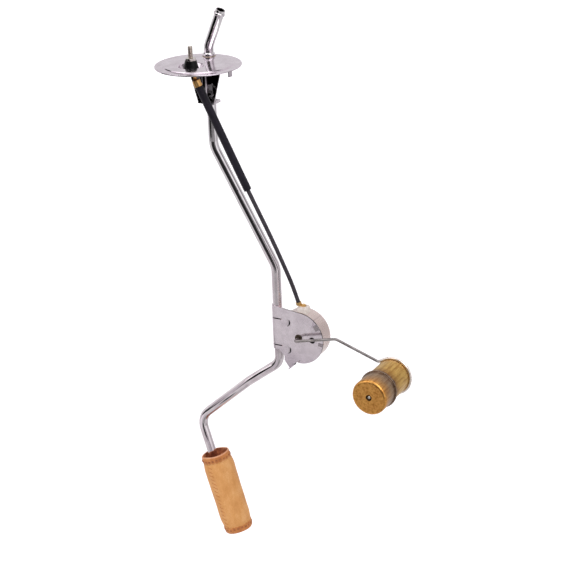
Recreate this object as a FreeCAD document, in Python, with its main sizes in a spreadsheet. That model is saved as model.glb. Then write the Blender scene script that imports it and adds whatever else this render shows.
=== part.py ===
import FreeCAD, Part
import math
import os
import Sketcher

# Fuel level sender: a round sealing flange carries the outlet tube, an insulated
# terminal and, lower down the tube, the rheostat that the float arm turns.
# Millimetres. The origin is the flange's centre on its sealing face, +Z points out
# of the tank along the flange's axis, and the rheostat plate faces -Y.

SIZES = [
    ("sheet", 1.0, "stamped steel sheet"),
    ("seat_gap", 0.02, "clearance between pieces that are fitted and stay"),
    ("tube_radius", 4.7625, "3/8 inch outlet tube"),
    ("tube_wall", 0.7, "tube wall"),
    ("tube_y", 28.8, "plane of all the tube's bends"),
    ("tube_top_x", -4.8, "vertical run through the flange"),
    ("spout_bend_z", 11.7, "corner of the spout"),
    ("spout_lean", 23.2, "spout's lean, degrees"),
    ("spout_length", 39.9, "spout from its corner to its end"),
    ("spout_bend", 18.0, "bend radius of the spout"),
    ("bead_rise", 0.75, "rolled beads stand proud of the tube"),
    ("bead_setback", 4.0, "hose bead's centre from the spout's end"),
    ("upper_bend_z", -89.0, "corner where the tube starts to slant"),
    ("low_run_x", 59.9, "vertical run behind the rheostat"),
    ("middle_bend_z", -207.3, "corner where the slant ends"),
    ("slant_bend", 22.0, "bend radius of both slant corners"),
    ("lower_bend_z", -311.8, "corner below the rheostat"),
    ("lower_bend", 16.0, "its bend radius"),
    ("kink_x", 22.4, "slight kink in the return run"),
    ("kink_z", -340.0, "its height"),
    ("kink_bend", 60.0, "its bend radius"),
    ("foot_bend_x", -38.7, "corner above the pickup"),
    ("foot_bend_z", -393.2, "its height"),
    ("foot_bend", 20.0, "its bend radius"),
    ("foot_lean", 16.5, "lean of the pickup end, degrees"),
    ("foot_length", 92.0, "pickup end from its corner"),
    ("flange_radius", 41.9, "flange rim"),
    ("plateau_radius", 34.8, "foot of the raised middle"),
    ("plateau_rise", 1.0, "height of the raised middle"),
    ("plateau_ramp", 0.9, "width of the step's ramp"),
    ("tab_angle", -12.5, "place of the key tab on the rim, degrees"),
    ("tab_width", 4.5, "key tab"),
    ("tab_drop", 5.0, "key tab below the sealing face"),
    ("terminal_x", -2.2, "terminal axis"),
    ("terminal_y", -9.3, "terminal axis"),
    ("pit_lip_radius", 12.6, "drawn cup round the terminal, at its lip"),
    ("pit_floor_radius", 9.8, "the same at its floor"),
    ("pit_floor_z", -3.2, "top of the cup's floor"),
    ("floor_hole_radius", 4.0, "hole in the cup's floor"),
    ("stud_radius", 2.413, "No. 10 terminal stud"),
    ("thread_depth", 0.25, "its thread, from the crest to the middle"),
    ("stud_top_z", 20.8, "end of the stud"),
    ("stud_head_radius", 3.1, "headed lower end of the stud"),
    ("stud_head_height", 1.1, "the same"),
    ("insulator_top_z", 7.2, "top of the tapered insulator"),
    ("insulator_top_radius", 5.5, "its top"),
    ("insulator_base_radius", 8.0, "its base, on the cup's floor"),
    ("washer_radius", 7.0, "insulating washer below the floor"),
    ("washer_height", 1.2, "the same"),
    ("nut_flats", 9.525, "terminal nut across its flats"),
    ("nut_height", 2.2, "terminal nut"),
    ("lug_sheet", 0.8, "brass of the lead's lugs"),
    ("lug_ring_radius", 5.0, "ring of the upper lug"),
    ("brace_y", 18.4, "front face of the gusset"),
    ("brace_top_width", 41.8, "gusset at the flange"),
    ("brace_foot_width", 17.2, "gusset at its lower end"),
    ("brace_drop", 44.6, "gusset's height"),
    ("brace_weld_depth", 8.0, "foot welded to the flange"),
    ("brace_tail_width", 18.4, "shelf that clasps the tube"),
    ("brace_tail_overhang", 6.5, "shelf behind the tube's axis"),
    ("rib_radius", 2.6, "gusset's middle rib"),
    ("pivot_x", 85.8, "axis of the float arm"),
    ("pivot_z", -278.4, "axis of the float arm"),
    ("plate_radius", 27.5, "round side of the rheostat plate"),
    ("plate_top_z", -247.8, "upper end of the plate's clamp"),
    ("plate_bottom_z", -294.6, "lower end of the clamp"),
    ("tail_left_x", 68.8, "tail of the plate"),
    ("tail_knee_z", -305.5, "tail's left corner"),
    ("tail_tip_x", 74.8, "tail's tip"),
    ("tail_tip_z", -314.0, "tail's tip"),
    ("tail_right_x", 81.6, "tail's right corner"),
    ("tail_right_z", -307.6, "tail's right corner"),
    ("tail_lip", 3.0, "lip bent forward along the tail"),
    ("clamp_slot", 1.3, "two slots across the clamp"),
    ("slot_upper_z", -261.0, "upper slot"),
    ("slot_lower_z", -289.9, "lower slot"),
    ("slot_end_x", 67.4, "right end of both slots"),
    ("lance_x", 13.0, "hinge line of the stops, left of the pivot"),
    ("lance_z", 15.0, "stops above and below the pivot"),
    ("lance_radius", 4.2, "half-round stops lanced from the plate"),
    ("lance_turn", 38.0, "stops bent in from the plate, degrees"),
    ("gauge_hole_x", 15.3, "gauging hole, right of the pivot"),
    ("gauge_hole_radius", 3.3, "gauging hole"),
    ("case_radius", 26.5, "case wall"),
    ("case_depth", 19.0, "case behind the plate"),
    ("case_wall", 0.7, "case sheet"),
    ("case_rim", 1.0, "rim round the case's mouth, under the plate"),
    ("case_gap", 0.6, "case's flat side clear of the tube"),
    ("case_edge", 2.0, "rounding of the case's back edge"),
    ("case_corner", 4.0, "rounding of the case's two corners"),
    ("clinch_length", 5.0, "clinch tab on the plate"),
    ("clinch_width", 6.0, "wide clinch tab"),
    ("clinch_narrow", 3.0, "narrow clinch tab"),
    ("clinch_angle", 35.0, "wide tab's place, degrees"),
    ("clinch_narrow_angle", -8.0, "narrow tab's place, degrees"),
    ("block_left", -1.2, "terminal block, left of the pivot"),
    ("block_right", 8.5, "terminal block, right of the pivot"),
    ("block_depth", 9.0, "terminal block, front to back"),
    ("block_rise", 6.8, "block above the case"),
    ("block_chamfer", 1.4, "sloped right edge of the block's top"),
    ("block_skirt", 3.0, "block's sides reach down round the case"),
    ("block_neck_radius", 3.4, "block's neck through the case wall"),
    ("block_neck_drop", 4.0, "neck inside the case"),
    ("rivet_radius", 1.5, "case terminal"),
    ("rivet_head_radius", 2.0, "case terminal's head"),
    ("rivet_head_height", 1.1, "case terminal's head"),
    ("bush_radius", 3.2, "pivot bush in the plate"),
    ("bush_head_radius", 3.9, "bush's shoulders"),
    ("bush_head_height", 0.7, "bush's shoulders"),
    ("running_gap", 0.06, "arm wire in its bush"),
    ("wire_radius", 1.4, "float arm wire"),
    ("arm_reach", 9.0, "arm stands in front of the plate"),
    ("arm_leg_bend", 3.2, "bend from the leg to the arm"),
    ("arm_knee_x", 132.5, "knee of the arm"),
    ("arm_knee_z", -267.7, "knee of the arm"),
    ("arm_knee_bend", 9.0, "its bend radius"),
    ("arm_catch_bend", 4.0, "bend into the loop"),
    ("arm_catch_offset", 1.5, "catch corner outside the loop"),
    ("arm_catch_angle", 143.0, "catch corner on the loop, degrees"),
    ("arm_loop_end", -175.0, "end of the loop, degrees"),
    ("float_travel", 72.0, "swing of the arm, degrees"),
    ("lever_sheet", 0.8, "wiper lever"),
    ("lever_gap", 0.75, "lever behind the plate"),
    ("lever_tail", 17.3, "lever's stop end from the pivot"),
    ("lever_tail_width", 3.3, "the same"),
    ("lever_head", 10.0, "lever's wiper end from the pivot"),
    ("lever_head_width", 5.0, "the same"),
    ("hub_radius", 4.2, "lever round the wire"),
    ("blade_sheet", 0.4, "spring strip of the wiper"),
    ("blade_width", 4.0, "spring strip of the wiper"),
    ("contact_radius", 1.3, "wiper contact"),
    ("contact_height", 1.4, "wiper contact"),
    ("contact_gap", 0.2, "contact clear of the winding"),
    ("winding_thickness", 3.0, "winding with its card, front to back of the band"),
    ("winding_front", 5.5, "winding behind the plate"),
    ("winding_height", 10.5, "winding along the case's depth"),
    ("winding_span", 46.0, "winding each side of the middle, degrees"),
    ("card_thickness", 1.0, "card inside the winding"),
    ("card_margin", 0.9, "card's edges inside the winding"),
    ("holder_margin", 1.0, "card holder beyond the winding's edges"),
    ("holder_wall", 2.18, "card holder between the case and the winding"),
    ("card_end", 4.0, "card beyond each end of the winding, degrees"),
    ("holder_end", 3.0, "card holder beyond each end of the card, degrees"),
    ("strap_sheet", 0.5, "strap from the terminal to the winding"),
    ("strap_width", 4.0, "the same"),
    ("strap_setback", 1.5, "strap's finger from the winding's end, degrees"),
    ("float_x", 194.4, "float's axis"),
    ("float_z", -295.6, "float's axis"),
    ("float_radius", 17.9, "front cup"),
    ("float_rear_radius", 17.3, "rear cup"),
    ("float_wall", 0.45, "brass of the cups"),
    ("float_front", 55.4, "front face ahead of the wire loop"),
    ("float_seam", 33.0, "seam ahead of the wire loop"),
    ("float_edge", 2.6, "rounded edge of the front face"),
    ("seam_rise", 1.4, "rolled seam proud of the front cup"),
    ("seam_width", 1.5, "rolled seam"),
    ("groove_radius", 16.9, "neck that the wire loop holds"),
    ("float_back", 4.4, "rear face behind the wire loop"),
    ("dimple_radius", 2.9, "dimple in the front face"),
    ("dimple_depth", 1.0, "the same"),
    ("solder_radius", 1.5, "solder dot in the dimple"),
    ("filter_offset", 3.0, "filter's axis beside the tube's"),
    ("filter_mouth", 42.0, "filter's mouth below the tube's last corner"),
    ("filter_length", 89.5, "filter"),
    ("filter_radius", 16.2, "filter's body"),
    ("filter_rim_radius", 14.9, "filter's mouth and foot"),
    ("filter_hem", 7.5, "folded hem at the mouth"),
    ("filter_wall", 1.1, "filter cloth"),
    ("filter_hem_wall", 1.8, "folded cloth of the hems"),
    ("filter_foot", 7.0, "folded hem at the foot"),
    ("filter_shoulder", 6.0, "cloth widens over this below the mouth's hem"),
    ("filter_heel", 8.0, "cloth narrows over this above the foot's hem"),
    ("filter_curve", 20.0, "curve of both"),
    ("collar_depth", 7.0, "grip ring below the filter's mouth"),
    ("collar_height", 4.0, "grip ring"),
    ("lead_radius", 2.05, "insulated lead"),
    ("lead_start_x", 4.9, "crimp barrel's mouth, right of the stud"),
    ("lead_start_y", 0.5, "crimp barrel's mouth, ahead of the stud"),
    ("lead_start_drop", 8.6, "crimp barrel's mouth below the cup's floor"),
    ("lead_end_x", 5.2, "lead's end, left of the case terminal"),
    ("lead_end_rise", 1.5, "lead's end above the terminal block"),
    ("cuff_height", 3.0, "cuff of the lower lug round the lead's end"),
    ("sleeve_radius", 3.85, "sleeve over the lead's upper half"),
    ("sleeve_gap", 0.4, "sleeve starts below the crimp barrel"),
    ("sleeve_end", 119.5, "sleeve's lower end, along the lead"),
    ("barrel_radius", 3.9, "crimp barrel of the upper lug"),
    ("barrel_length", 6.2, "the same"),
]

# Where the lead passes on its way from the crimp barrel to the terminal block.
LEAD_POINTS = [
    (12.2, -5.9, -37.2),
    (41.0, 8.6, -118.0),
    (63.5, 20.0, -178.5),
    (78.6, 26.9, -222.5),
]


class Size:
    """A number together with the spreadsheet formula that it comes from."""

    def __init__(self, value, text):
        self.value = float(value)
        self.text = text

    def join(self, other, sign, value):
        return Size(value, "(%s %s %s)" % (self.text, sign, other.text))

    def __add__(self, other):
        other = as_size(other)
        return self.join(other, "+", self.value + other.value)

    def __sub__(self, other):
        other = as_size(other)
        return self.join(other, "-", self.value - other.value)

    def __mul__(self, other):
        other = as_size(other)
        return self.join(other, "*", self.value * other.value)

    def __truediv__(self, other):
        other = as_size(other)
        return self.join(other, "/", self.value / other.value)

    def __radd__(self, other):
        return as_size(other) + self

    def __rsub__(self, other):
        return as_size(other) - self

    def __rmul__(self, other):
        return as_size(other) * self

    def __neg__(self):
        return Size(-self.value, "(0 - %s)" % self.text)


def as_size(number):
    return number if isinstance(number, Size) else Size(number, "(%r)" % float(number))


def number(size):
    return as_size(size).value


def sine(angle):
    return Size(math.sin(math.radians(angle.value)), "sin(%s)" % angle.text)


def cosine(angle):
    return Size(math.cos(math.radians(angle.value)), "cos(%s)" % angle.text)


def root(size):
    return Size(math.sqrt(size.value), "sqrt(%s)" % size.text)


def larger(first, second):
    return Size(max(first.value, second.value), "max(%s; %s)" % (first.text, second.text))


class Dimensions:
    """Every cell of the spreadsheet as a Size, under its alias."""

    def __init__(self, sheet):
        for row, (alias, value, note) in enumerate(SIZES, start=1):
            sheet.set("A%d" % row, alias)
            sheet.set("B%d" % row, str(value))
            sheet.setAlias("B%d" % row, alias)
            sheet.set("C%d" % row, note)
            setattr(self, alias, Size(value, "Sizes." + alias))


doc = FreeCAD.newDocument("FuelLevelSender")
sheet = doc.addObject("Spreadsheet::Sheet", "Sizes")
dim = Dimensions(sheet)
doc.recompute()
nodes = []

# Places that several pieces share.
plate_front = dim.tube_y - dim.tube_radius - dim.sheet
plate_back = plate_front + dim.sheet
arm_y = plate_front - dim.arm_reach
half_travel = dim.float_travel / 2
case_flat_x = dim.low_run_x + dim.tube_radius + dim.sheet + dim.case_gap
plateau_top = dim.sheet + dim.plateau_rise
case_roof = dim.pivot_z + dim.case_radius
winding_outer = dim.case_radius - dim.case_wall - dim.seat_gap - dim.holder_wall
winding_inner = winding_outer - dim.winding_thickness
winding_y = plate_back + dim.winding_front
card_span = dim.winding_span + dim.card_end


def bind(thing, prop, size):
    """Set a property now and tie it to the spreadsheet."""
    thing.setExpression(prop, as_size(size).text)


def node(thing, name):
    thing.Label = name
    nodes.append(thing)
    return thing


def new_body(name):
    return node(doc.addObject("PartDesign::Body", name), name)


def place(thing, x=0, y=0, z=0, axis=None, angle=0):
    """Move a sub-part, and turn it about an axis through its own origin."""
    if axis:
        turn = FreeCAD.Rotation(FreeCAD.Vector(*axis), number(angle))
        thing.Placement = FreeCAD.Placement(FreeCAD.Vector(), turn)
        bind(thing, "Placement.Rotation.Angle", angle)
    for letter, size in zip("xyz", (x, y, z)):
        bind(thing, "Placement.Base." + letter, size)


def new_sketch(body, plane, base=(0, 0, 0), turn=None):
    """A sketch on the body's XY, XZ or YZ plane, carried to base, with turn=(axis, angle)."""
    role = plane + "_Plane"
    support = [item for item in body.Origin.OriginFeatures if item.Role == role][0]
    sketch = body.newObject("Sketcher::SketchObject", "Sketch")
    sketch.AttachmentSupport = [(support, "")]
    sketch.MapMode = "FlatFace"
    x, y, z = base
    offset = {"XY": (x, y, z), "XZ": (x, z, 0 - as_size(y)), "YZ": (y, z, x)}[plane]
    if turn:
        axis, angle = turn
        rotation = FreeCAD.Rotation(FreeCAD.Vector(*axis), number(angle))
        sketch.AttachmentOffset = FreeCAD.Placement(FreeCAD.Vector(), rotation)
        bind(sketch, "AttachmentOffset.Rotation.Angle", angle)
    for letter, size in zip("xyz", offset):
        bind(sketch, "AttachmentOffset.Base." + letter, size)
    return sketch


def fix_point(sketch, geometry, point, x, y):
    for kind, size in (("DistanceX", x), ("DistanceY", y)):
        rule = sketch.addConstraint(Sketcher.Constraint(kind, -1, 1, geometry, point, number(size)))
        bind(sketch, "Constraints[%d]" % rule, size)


def draw_circle(sketch, x, y, radius):
    centre = FreeCAD.Vector(number(x), number(y), 0)
    up = FreeCAD.Vector(0, 0, 1)
    ring = sketch.addGeometry(Part.Circle(centre, up, number(radius)), False)
    fix_point(sketch, ring, 3, x, y)
    rule = sketch.addConstraint(Sketcher.Constraint("Radius", ring, number(radius)))
    bind(sketch, "Constraints[%d]" % rule, radius)


def corner_arc(before, corner, after, radius):
    """Centre and the two tangent points of an arc that rounds a corner."""
    into = (before - corner).normalize()
    away = (after - corner).normalize()
    half = into.getAngle(away) / 2
    reach = radius / math.tan(half)
    middle = (into + away).normalize()
    return corner + middle * (radius / math.sin(half)), corner + into * reach, corner + away * reach


def draw_line(sketch, corners, closed=True):
    """Straight runs through the corners. A corner with a third value is rounded to that radius."""
    spots = [FreeCAD.Vector(number(item[0]), number(item[1]), 0) for item in corners]
    count = len(corners)
    entry, leave, rounds = list(spots), list(spots), {}
    for i, item in enumerate(corners):
        if len(item) == 3:
            centre, entry[i], leave[i] = corner_arc(
                spots[i - 1], spots[i], spots[(i + 1) % count], number(item[2]))
            rounds[i] = centre
    runs = []
    for i in range(count if closed else count - 1):
        line = Part.LineSegment(leave[i], entry[(i + 1) % count])
        runs.append(sketch.addGeometry(line, False))
    for i, item in enumerate(corners):
        ahead = runs[i] if i < len(runs) else None
        behind = runs[i - 1] if closed or i > 0 else None
        if i in rounds:
            round_corner(sketch, item, rounds[i], entry[i], leave[i], behind, ahead)
        elif ahead is None:
            fix_point(sketch, behind, 2, item[0], item[1])
        else:
            fix_point(sketch, ahead, 1, item[0], item[1])
            if behind is not None:
                sketch.addConstraint(Sketcher.Constraint("Coincident", behind, 2, ahead, 1))


def round_corner(sketch, item, centre, start, end, behind, ahead):
    """A tangent arc between two runs, with the corner itself kept as a point on both."""
    radius = number(item[2])
    angles = [math.atan2(point.y - centre.y, point.x - centre.x) for point in (start, end)]
    left_turn = (angles[1] - angles[0]) % (2 * math.pi) < math.pi
    first, last = (angles[0], angles[1]) if left_turn else (angles[1], angles[0])
    circle = Part.Circle(centre, FreeCAD.Vector(0, 0, 1), radius)
    arc = sketch.addGeometry(Part.ArcOfCircle(circle, first, last), False)
    near, far = (1, 2) if left_turn else (2, 1)
    sketch.addConstraint(Sketcher.Constraint("Tangent", behind, 2, arc, near))
    sketch.addConstraint(Sketcher.Constraint("Tangent", arc, far, ahead, 1))
    rule = sketch.addConstraint(Sketcher.Constraint("Radius", arc, radius))
    bind(sketch, "Constraints[%d]" % rule, item[2])
    corner = Part.Point(FreeCAD.Vector(number(item[0]), number(item[1]), 0))
    mark = sketch.addGeometry(corner, True)
    sketch.addConstraint(Sketcher.Constraint("PointOnObject", mark, 1, behind))
    sketch.addConstraint(Sketcher.Constraint("PointOnObject", mark, 1, ahead))
    fix_point(sketch, mark, 1, item[0], item[1])


def pad(body, sketch, length, reverse=False, middle=False):
    feature = body.newObject("PartDesign::Pad", "Pad")
    feature.Profile = sketch
    bind(feature, "Length", length)
    feature.Reversed = reverse
    if middle:
        feature.SideType = "Symmetric"
    return feature


def pocket(body, sketch, length, reverse=False, middle=False):
    feature = body.newObject("PartDesign::Pocket", "Pocket")
    feature.Profile = sketch
    bind(feature, "Length", length)
    feature.Reversed = reverse
    if middle:
        feature.SideType = "Symmetric"
    return feature


def revolve(body, sketch, cut=False):
    """A full turn of the sketch about its own upright axis."""
    kind = "PartDesign::Groove" if cut else "PartDesign::Revolution"
    feature = body.newObject(kind, "Turn")
    feature.Profile = sketch
    feature.ReferenceAxis = (sketch, ["V_Axis"])
    feature.Angle = 360
    return feature


def turned(name, profile, plane="XZ", base=(0, 0, 0)):
    """A body turned from one profile of (radius, height) corners."""
    body = new_body(name)
    sketch = new_sketch(body, plane, base)
    draw_line(sketch, profile)
    revolve(body, sketch)
    return body


def slab(body, corners, front, thickness):
    """Sheet parallel to the rheostat plate, from its front face towards +Y."""
    sketch = new_sketch(body, "XZ", (0, front, 0))
    draw_line(sketch, corners)
    return pad(body, sketch, thickness, reverse=True)


def disc(body, x, z, radius, front, thickness):
    sketch = new_sketch(body, "XZ", (0, front, 0))
    draw_circle(sketch, x, z, radius)
    return pad(body, sketch, thickness, reverse=True)


def drill(body, x, z, radius, front, depth):
    """A round hole from a front face towards +Y."""
    sketch = new_sketch(body, "XZ", (0, front, 0))
    draw_circle(sketch, x, z, radius)
    return pocket(body, sketch, depth)


def widest_bends(points):
    """The largest radius that each corner of a route leaves room for."""
    points = [FreeCAD.Vector(*point) for point in points]
    radii = []
    for before, corner, after in zip(points, points[1:], points[2:]):
        half_turn = (corner - before).getAngle(after - corner) / 2
        shorter = min((corner - before).Length, (after - corner).Length)
        radii.append(0.45 * shorter / math.tan(half_turn))
    return radii


def rounded_path(points, radii):
    """Straight runs joined by tangent arcs, as edges in space."""
    points = [FreeCAD.Vector(*point) for point in points]
    edges = []
    start = points[0]
    for before, corner, after, radius in zip(points, points[1:], points[2:], radii):
        centre, entry, leave = corner_arc(before, corner, after, radius)
        middle = centre + (corner - centre).normalize() * radius
        edges.append(Part.LineSegment(start, entry).toShape())
        edges.append(Part.Arc(entry, middle, leave).toShape())
        start = leave
    edges.append(Part.LineSegment(start, points[-1]).toShape())
    return edges


def stretch(edges, start, end):
    """The part of a path between two distances along it."""
    pieces, passed = [], 0
    for edge in edges:
        low, high = max(start - passed, 0), min(end - passed, edge.Length)
        if high - low > 1e-6:
            spots = [edge.valueAt(edge.getParameterByLength(reach))
                     for reach in (low, (low + high) / 2, high)]
            straight = edge.Curve.TypeId == "Part::GeomLine"
            piece = Part.LineSegment(spots[0], spots[2]) if straight else Part.Arc(*spots)
            pieces.append(piece.toShape())
        passed += edge.Length
    return pieces


def round_bar(edges, radius, bore=0):
    """A round bar or hose along tangent edges."""
    path = Part.Wire(edges)
    direction = edges[0].tangentAt(edges[0].FirstParameter)
    start = edges[0].valueAt(edges[0].FirstParameter)

    def swept(size):
        ring = Part.Wire(Part.Circle(start, direction, size).toShape())
        return path.makePipeShell([ring], True, False)

    bar = swept(radius)
    return bar.cut(swept(bore)) if bore else bar


def plain_node(name, shape):
    thing = doc.addObject("Part::Feature", name)
    thing.Shape = shape
    thing.Placement = FreeCAD.Placement()
    return node(thing, name)


def make_flange():
    """Drawn disc with a raised middle, a cup for the terminal, a tube hole and a key tab."""
    rise, step = dim.plateau_rise, dim.plateau_radius - dim.plateau_ramp
    body = turned("flange", [
        (0, rise), (step, rise, 0.8), (dim.plateau_radius, 0), (dim.flange_radius, 0),
        (dim.flange_radius, dim.sheet, 0.4), (dim.plateau_radius, dim.sheet, 0.8),
        (step, plateau_top), (0, plateau_top)])
    at = (dim.terminal_x, dim.terminal_y, 0)
    lip, floor, low = dim.pit_lip_radius, dim.pit_floor_radius, dim.pit_floor_z
    opening = new_sketch(body, "XY", (0, 0, 0))
    draw_circle(opening, at[0], at[1], lip + dim.sheet * 1.5)
    pocket(body, opening, plateau_top + dim.sheet, reverse=True)
    cup = new_sketch(body, "XZ", at)
    draw_line(cup, [
        (0, low), (floor, low, 1.2), (lip, plateau_top, 1.8),
        (lip + dim.sheet * 2.5, plateau_top), (lip + dim.sheet * 2.5, rise),
        (lip + dim.sheet, rise, 0.8), (floor + dim.sheet, low - dim.sheet, 2.2), (0, low - dim.sheet)])
    revolve(body, cup)
    hole = new_sketch(body, "XY", (0, 0, low - dim.sheet))
    draw_circle(hole, at[0], at[1], dim.floor_hole_radius)
    pocket(body, hole, dim.sheet, reverse=True)
    bore = new_sketch(body, "XY", (0, 0, 0))
    draw_circle(bore, dim.tube_top_x, dim.tube_y, dim.tube_radius + dim.seat_gap)
    pocket(body, bore, plateau_top, reverse=True)
    tab = new_sketch(body, "XY", (0, 0, dim.sheet), ((0, 0, 1), dim.tab_angle))
    outer, half = dim.flange_radius - 0.1, dim.tab_width / 2
    draw_line(tab, [
        (outer - dim.sheet, 0 - half), (outer, 0 - half), (outer, half), (outer - dim.sheet, half)])
    pad(body, tab, dim.sheet + dim.tab_drop, reverse=True)


def tube_corners():
    lean, foot = dim.spout_lean, dim.foot_lean
    top = (dim.tube_top_x + dim.spout_length * sine(lean),
           dim.spout_bend_z + dim.spout_length * cosine(lean))
    end = (dim.foot_bend_x + dim.foot_length * sine(foot),
           dim.foot_bend_z - dim.foot_length * cosine(foot))
    return [
        top,
        (dim.tube_top_x, dim.spout_bend_z, dim.spout_bend),
        (dim.tube_top_x, dim.upper_bend_z, dim.slant_bend),
        (dim.low_run_x, dim.middle_bend_z, dim.slant_bend),
        (dim.low_run_x, dim.lower_bend_z, dim.lower_bend),
        (dim.kink_x, dim.kink_z, dim.kink_bend),
        (dim.foot_bend_x, dim.foot_bend_z, dim.foot_bend),
        end,
    ]


def make_fuel_tube():
    """One bent tube from the hose spout to the pickup, with rolled beads."""
    body = new_body("fuel_tube")
    spine = new_sketch(body, "XZ", (0, dim.tube_y, 0))
    corners = tube_corners()
    draw_line(spine, corners, closed=False)
    section = new_sketch(body, "XY", (corners[0][0], dim.tube_y, corners[0][1]), ((0, 1, 0), dim.spout_lean))
    draw_circle(section, 0, 0, dim.tube_radius)
    draw_circle(section, 0, 0, dim.tube_radius - dim.tube_wall)
    pipe = body.newObject("PartDesign::AdditivePipe", "Bend")
    pipe.Profile = section
    pipe.Spine = (spine, [""])
    inside = dim.tube_radius - dim.tube_wall / 2
    bead = dim.tube_radius + dim.bead_rise
    hose = new_sketch(body, "XZ", (corners[0][0], dim.tube_y, corners[0][1]), ((0, 0, 1), 0 - dim.spout_lean))
    draw_line(hose, [
        (inside, 0 - dim.bead_setback - 1.9), (bead, 0 - dim.bead_setback - 0.9, 0.7),
        (bead, 0 - dim.bead_setback + 0.9, 0.7), (inside, 0 - dim.bead_setback + 1.9)])
    revolve(body, hose)
    seat = new_sketch(body, "XZ", (dim.tube_top_x, dim.tube_y, plateau_top))
    draw_line(seat, [(inside, 0.4), (bead + 0.3, 0.4, 0.5), (bead + 0.3, 2.8, 0.9), (inside, 4.2)])
    revolve(body, seat)


def make_braze_ring():
    """Fillet of braze round the tube, on the flange."""
    inner = dim.tube_radius + dim.seat_gap
    turned("braze_ring", [
        (inner, 0), (inner + 1.9, 0), (inner + 1.1, 0.4), (inner, 0.4)],
        base=(dim.tube_top_x, dim.tube_y, plateau_top))


def make_terminal():
    """Stud, insulators and nut on the cup's floor."""
    at = (dim.terminal_x, dim.terminal_y, 0)
    floor, under = dim.pit_floor_z, dim.pit_floor_z - dim.sheet
    neck = dim.stud_radius - dim.thread_depth
    hole = neck + dim.seat_gap
    nut_top = dim.insulator_top_z + dim.nut_height
    spigot = dim.floor_hole_radius - dim.seat_gap
    turned("upper_insulator", [
        (hole, under), (spigot, under), (spigot, floor), (dim.insulator_base_radius, floor, 0.5),
        (dim.insulator_base_radius - 0.4, floor + 2.0),
        (dim.insulator_top_radius, dim.insulator_top_z, 0.5), (hole, dim.insulator_top_z)], base=at)
    turned("lower_insulator", [
        (hole, under - dim.washer_height), (dim.washer_radius, under - dim.washer_height, 0.4),
        (dim.washer_radius, under), (hole, under)], base=at)
    head_top = under - dim.washer_height - dim.lug_sheet
    turned("terminal_stud", [
        (0, head_top - dim.stud_head_height),
        (dim.stud_head_radius, head_top - dim.stud_head_height, 0.5),
        (dim.stud_head_radius, head_top), (neck, head_top), (neck, nut_top),
        (dim.stud_radius, nut_top), (dim.stud_radius, dim.stud_top_z - 0.5),
        (dim.stud_radius - 0.5, dim.stud_top_z), (0, dim.stud_top_z)], base=at)
    make_terminal_nut()


def make_terminal_nut():
    """Thin hexagon nut with its corners turned off."""
    body = new_body("terminal_nut")
    sketch = new_sketch(body, "XY", (dim.terminal_x, dim.terminal_y, dim.insulator_top_z))
    across = dim.nut_flats / cosine(as_size(30.0)) / 2
    turns = [as_size(60.0 * i) for i in range(6)]
    draw_line(sketch, [(across * cosine(turn), across * sine(turn)) for turn in turns])
    pad(body, sketch, dim.nut_height)
    bevel = new_sketch(body, "XZ", (dim.terminal_x, dim.terminal_y, dim.insulator_top_z + dim.nut_height))
    draw_line(bevel, [(across - 0.7, 0), (across + 0.3, 0), (across + 0.3, -0.9)])
    revolve(body, bevel, cut=True)
    hole = new_sketch(body, "XY", (0, 0, dim.insulator_top_z))
    bore = dim.stud_radius - dim.thread_depth + dim.seat_gap
    draw_circle(hole, dim.terminal_x, dim.terminal_y, bore)
    pocket(body, hole, dim.nut_height, reverse=True)


def make_brace():
    """Folded gusset: foot under the flange, ribbed web, shelf that clasps the tube."""
    body = new_body("brace_bracket")
    centre, top, low = dim.tube_top_x, dim.plateau_rise, dim.plateau_rise - dim.brace_drop
    wide, narrow = dim.brace_top_width / 2, dim.brace_foot_width / 2
    back = dim.brace_y + dim.sheet
    slab(body, [(centre - wide, top), (centre + wide, top), (centre + narrow, low), (centre - narrow, low)],
         dim.brace_y, dim.sheet)
    foot = new_sketch(body, "XY", (0, 0, top))
    weld = dim.brace_y - dim.brace_weld_depth
    draw_line(foot, [
        (centre - wide, weld, 2.0), (centre + wide, weld, 2.0), (centre + wide, back), (centre - wide, back)])
    pad(body, foot, dim.sheet, reverse=True)
    shelf = new_sketch(body, "XY", (0, 0, low))
    tail = dim.brace_tail_width / 2
    end = dim.tube_y + dim.brace_tail_overhang
    draw_line(shelf, [
        (centre - tail, dim.brace_y), (centre + tail, dim.brace_y),
        (centre + tail, end, 6.0), (centre - tail, end, 6.0)])
    pad(body, shelf, dim.sheet)
    bore = new_sketch(body, "XY", (0, 0, low))
    draw_circle(bore, centre, dim.tube_y, dim.tube_radius + dim.seat_gap)
    pocket(body, bore, dim.sheet, reverse=True)
    channel = new_sketch(body, "XY", (0, 0, low + dim.sheet))
    inner = dim.rib_radius - dim.sheet
    draw_line(channel, [
        (centre - inner, dim.brace_y - 0.1), (centre + inner, dim.brace_y - 0.1),
        (centre + inner, back + 0.1), (centre - inner, back + 0.1)])
    pocket(body, channel, dim.brace_drop - dim.sheet * 2.5, reverse=True)
    rib = new_sketch(body, "XY", (0, 0, low + dim.sheet * 0.5))
    outer = dim.rib_radius
    front = dim.brace_y - dim.rib_radius
    draw_line(rib, [
        (centre - outer, back), (centre - outer, front, 1.9), (centre + outer, front, 1.9),
        (centre + outer, back), (centre + inner, back), (centre + inner, front + dim.sheet, 0.9),
        (centre - inner, front + dim.sheet, 0.9), (centre - inner, back)])
    pad(body, rib, dim.brace_drop - dim.sheet * 1.5)


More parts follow.
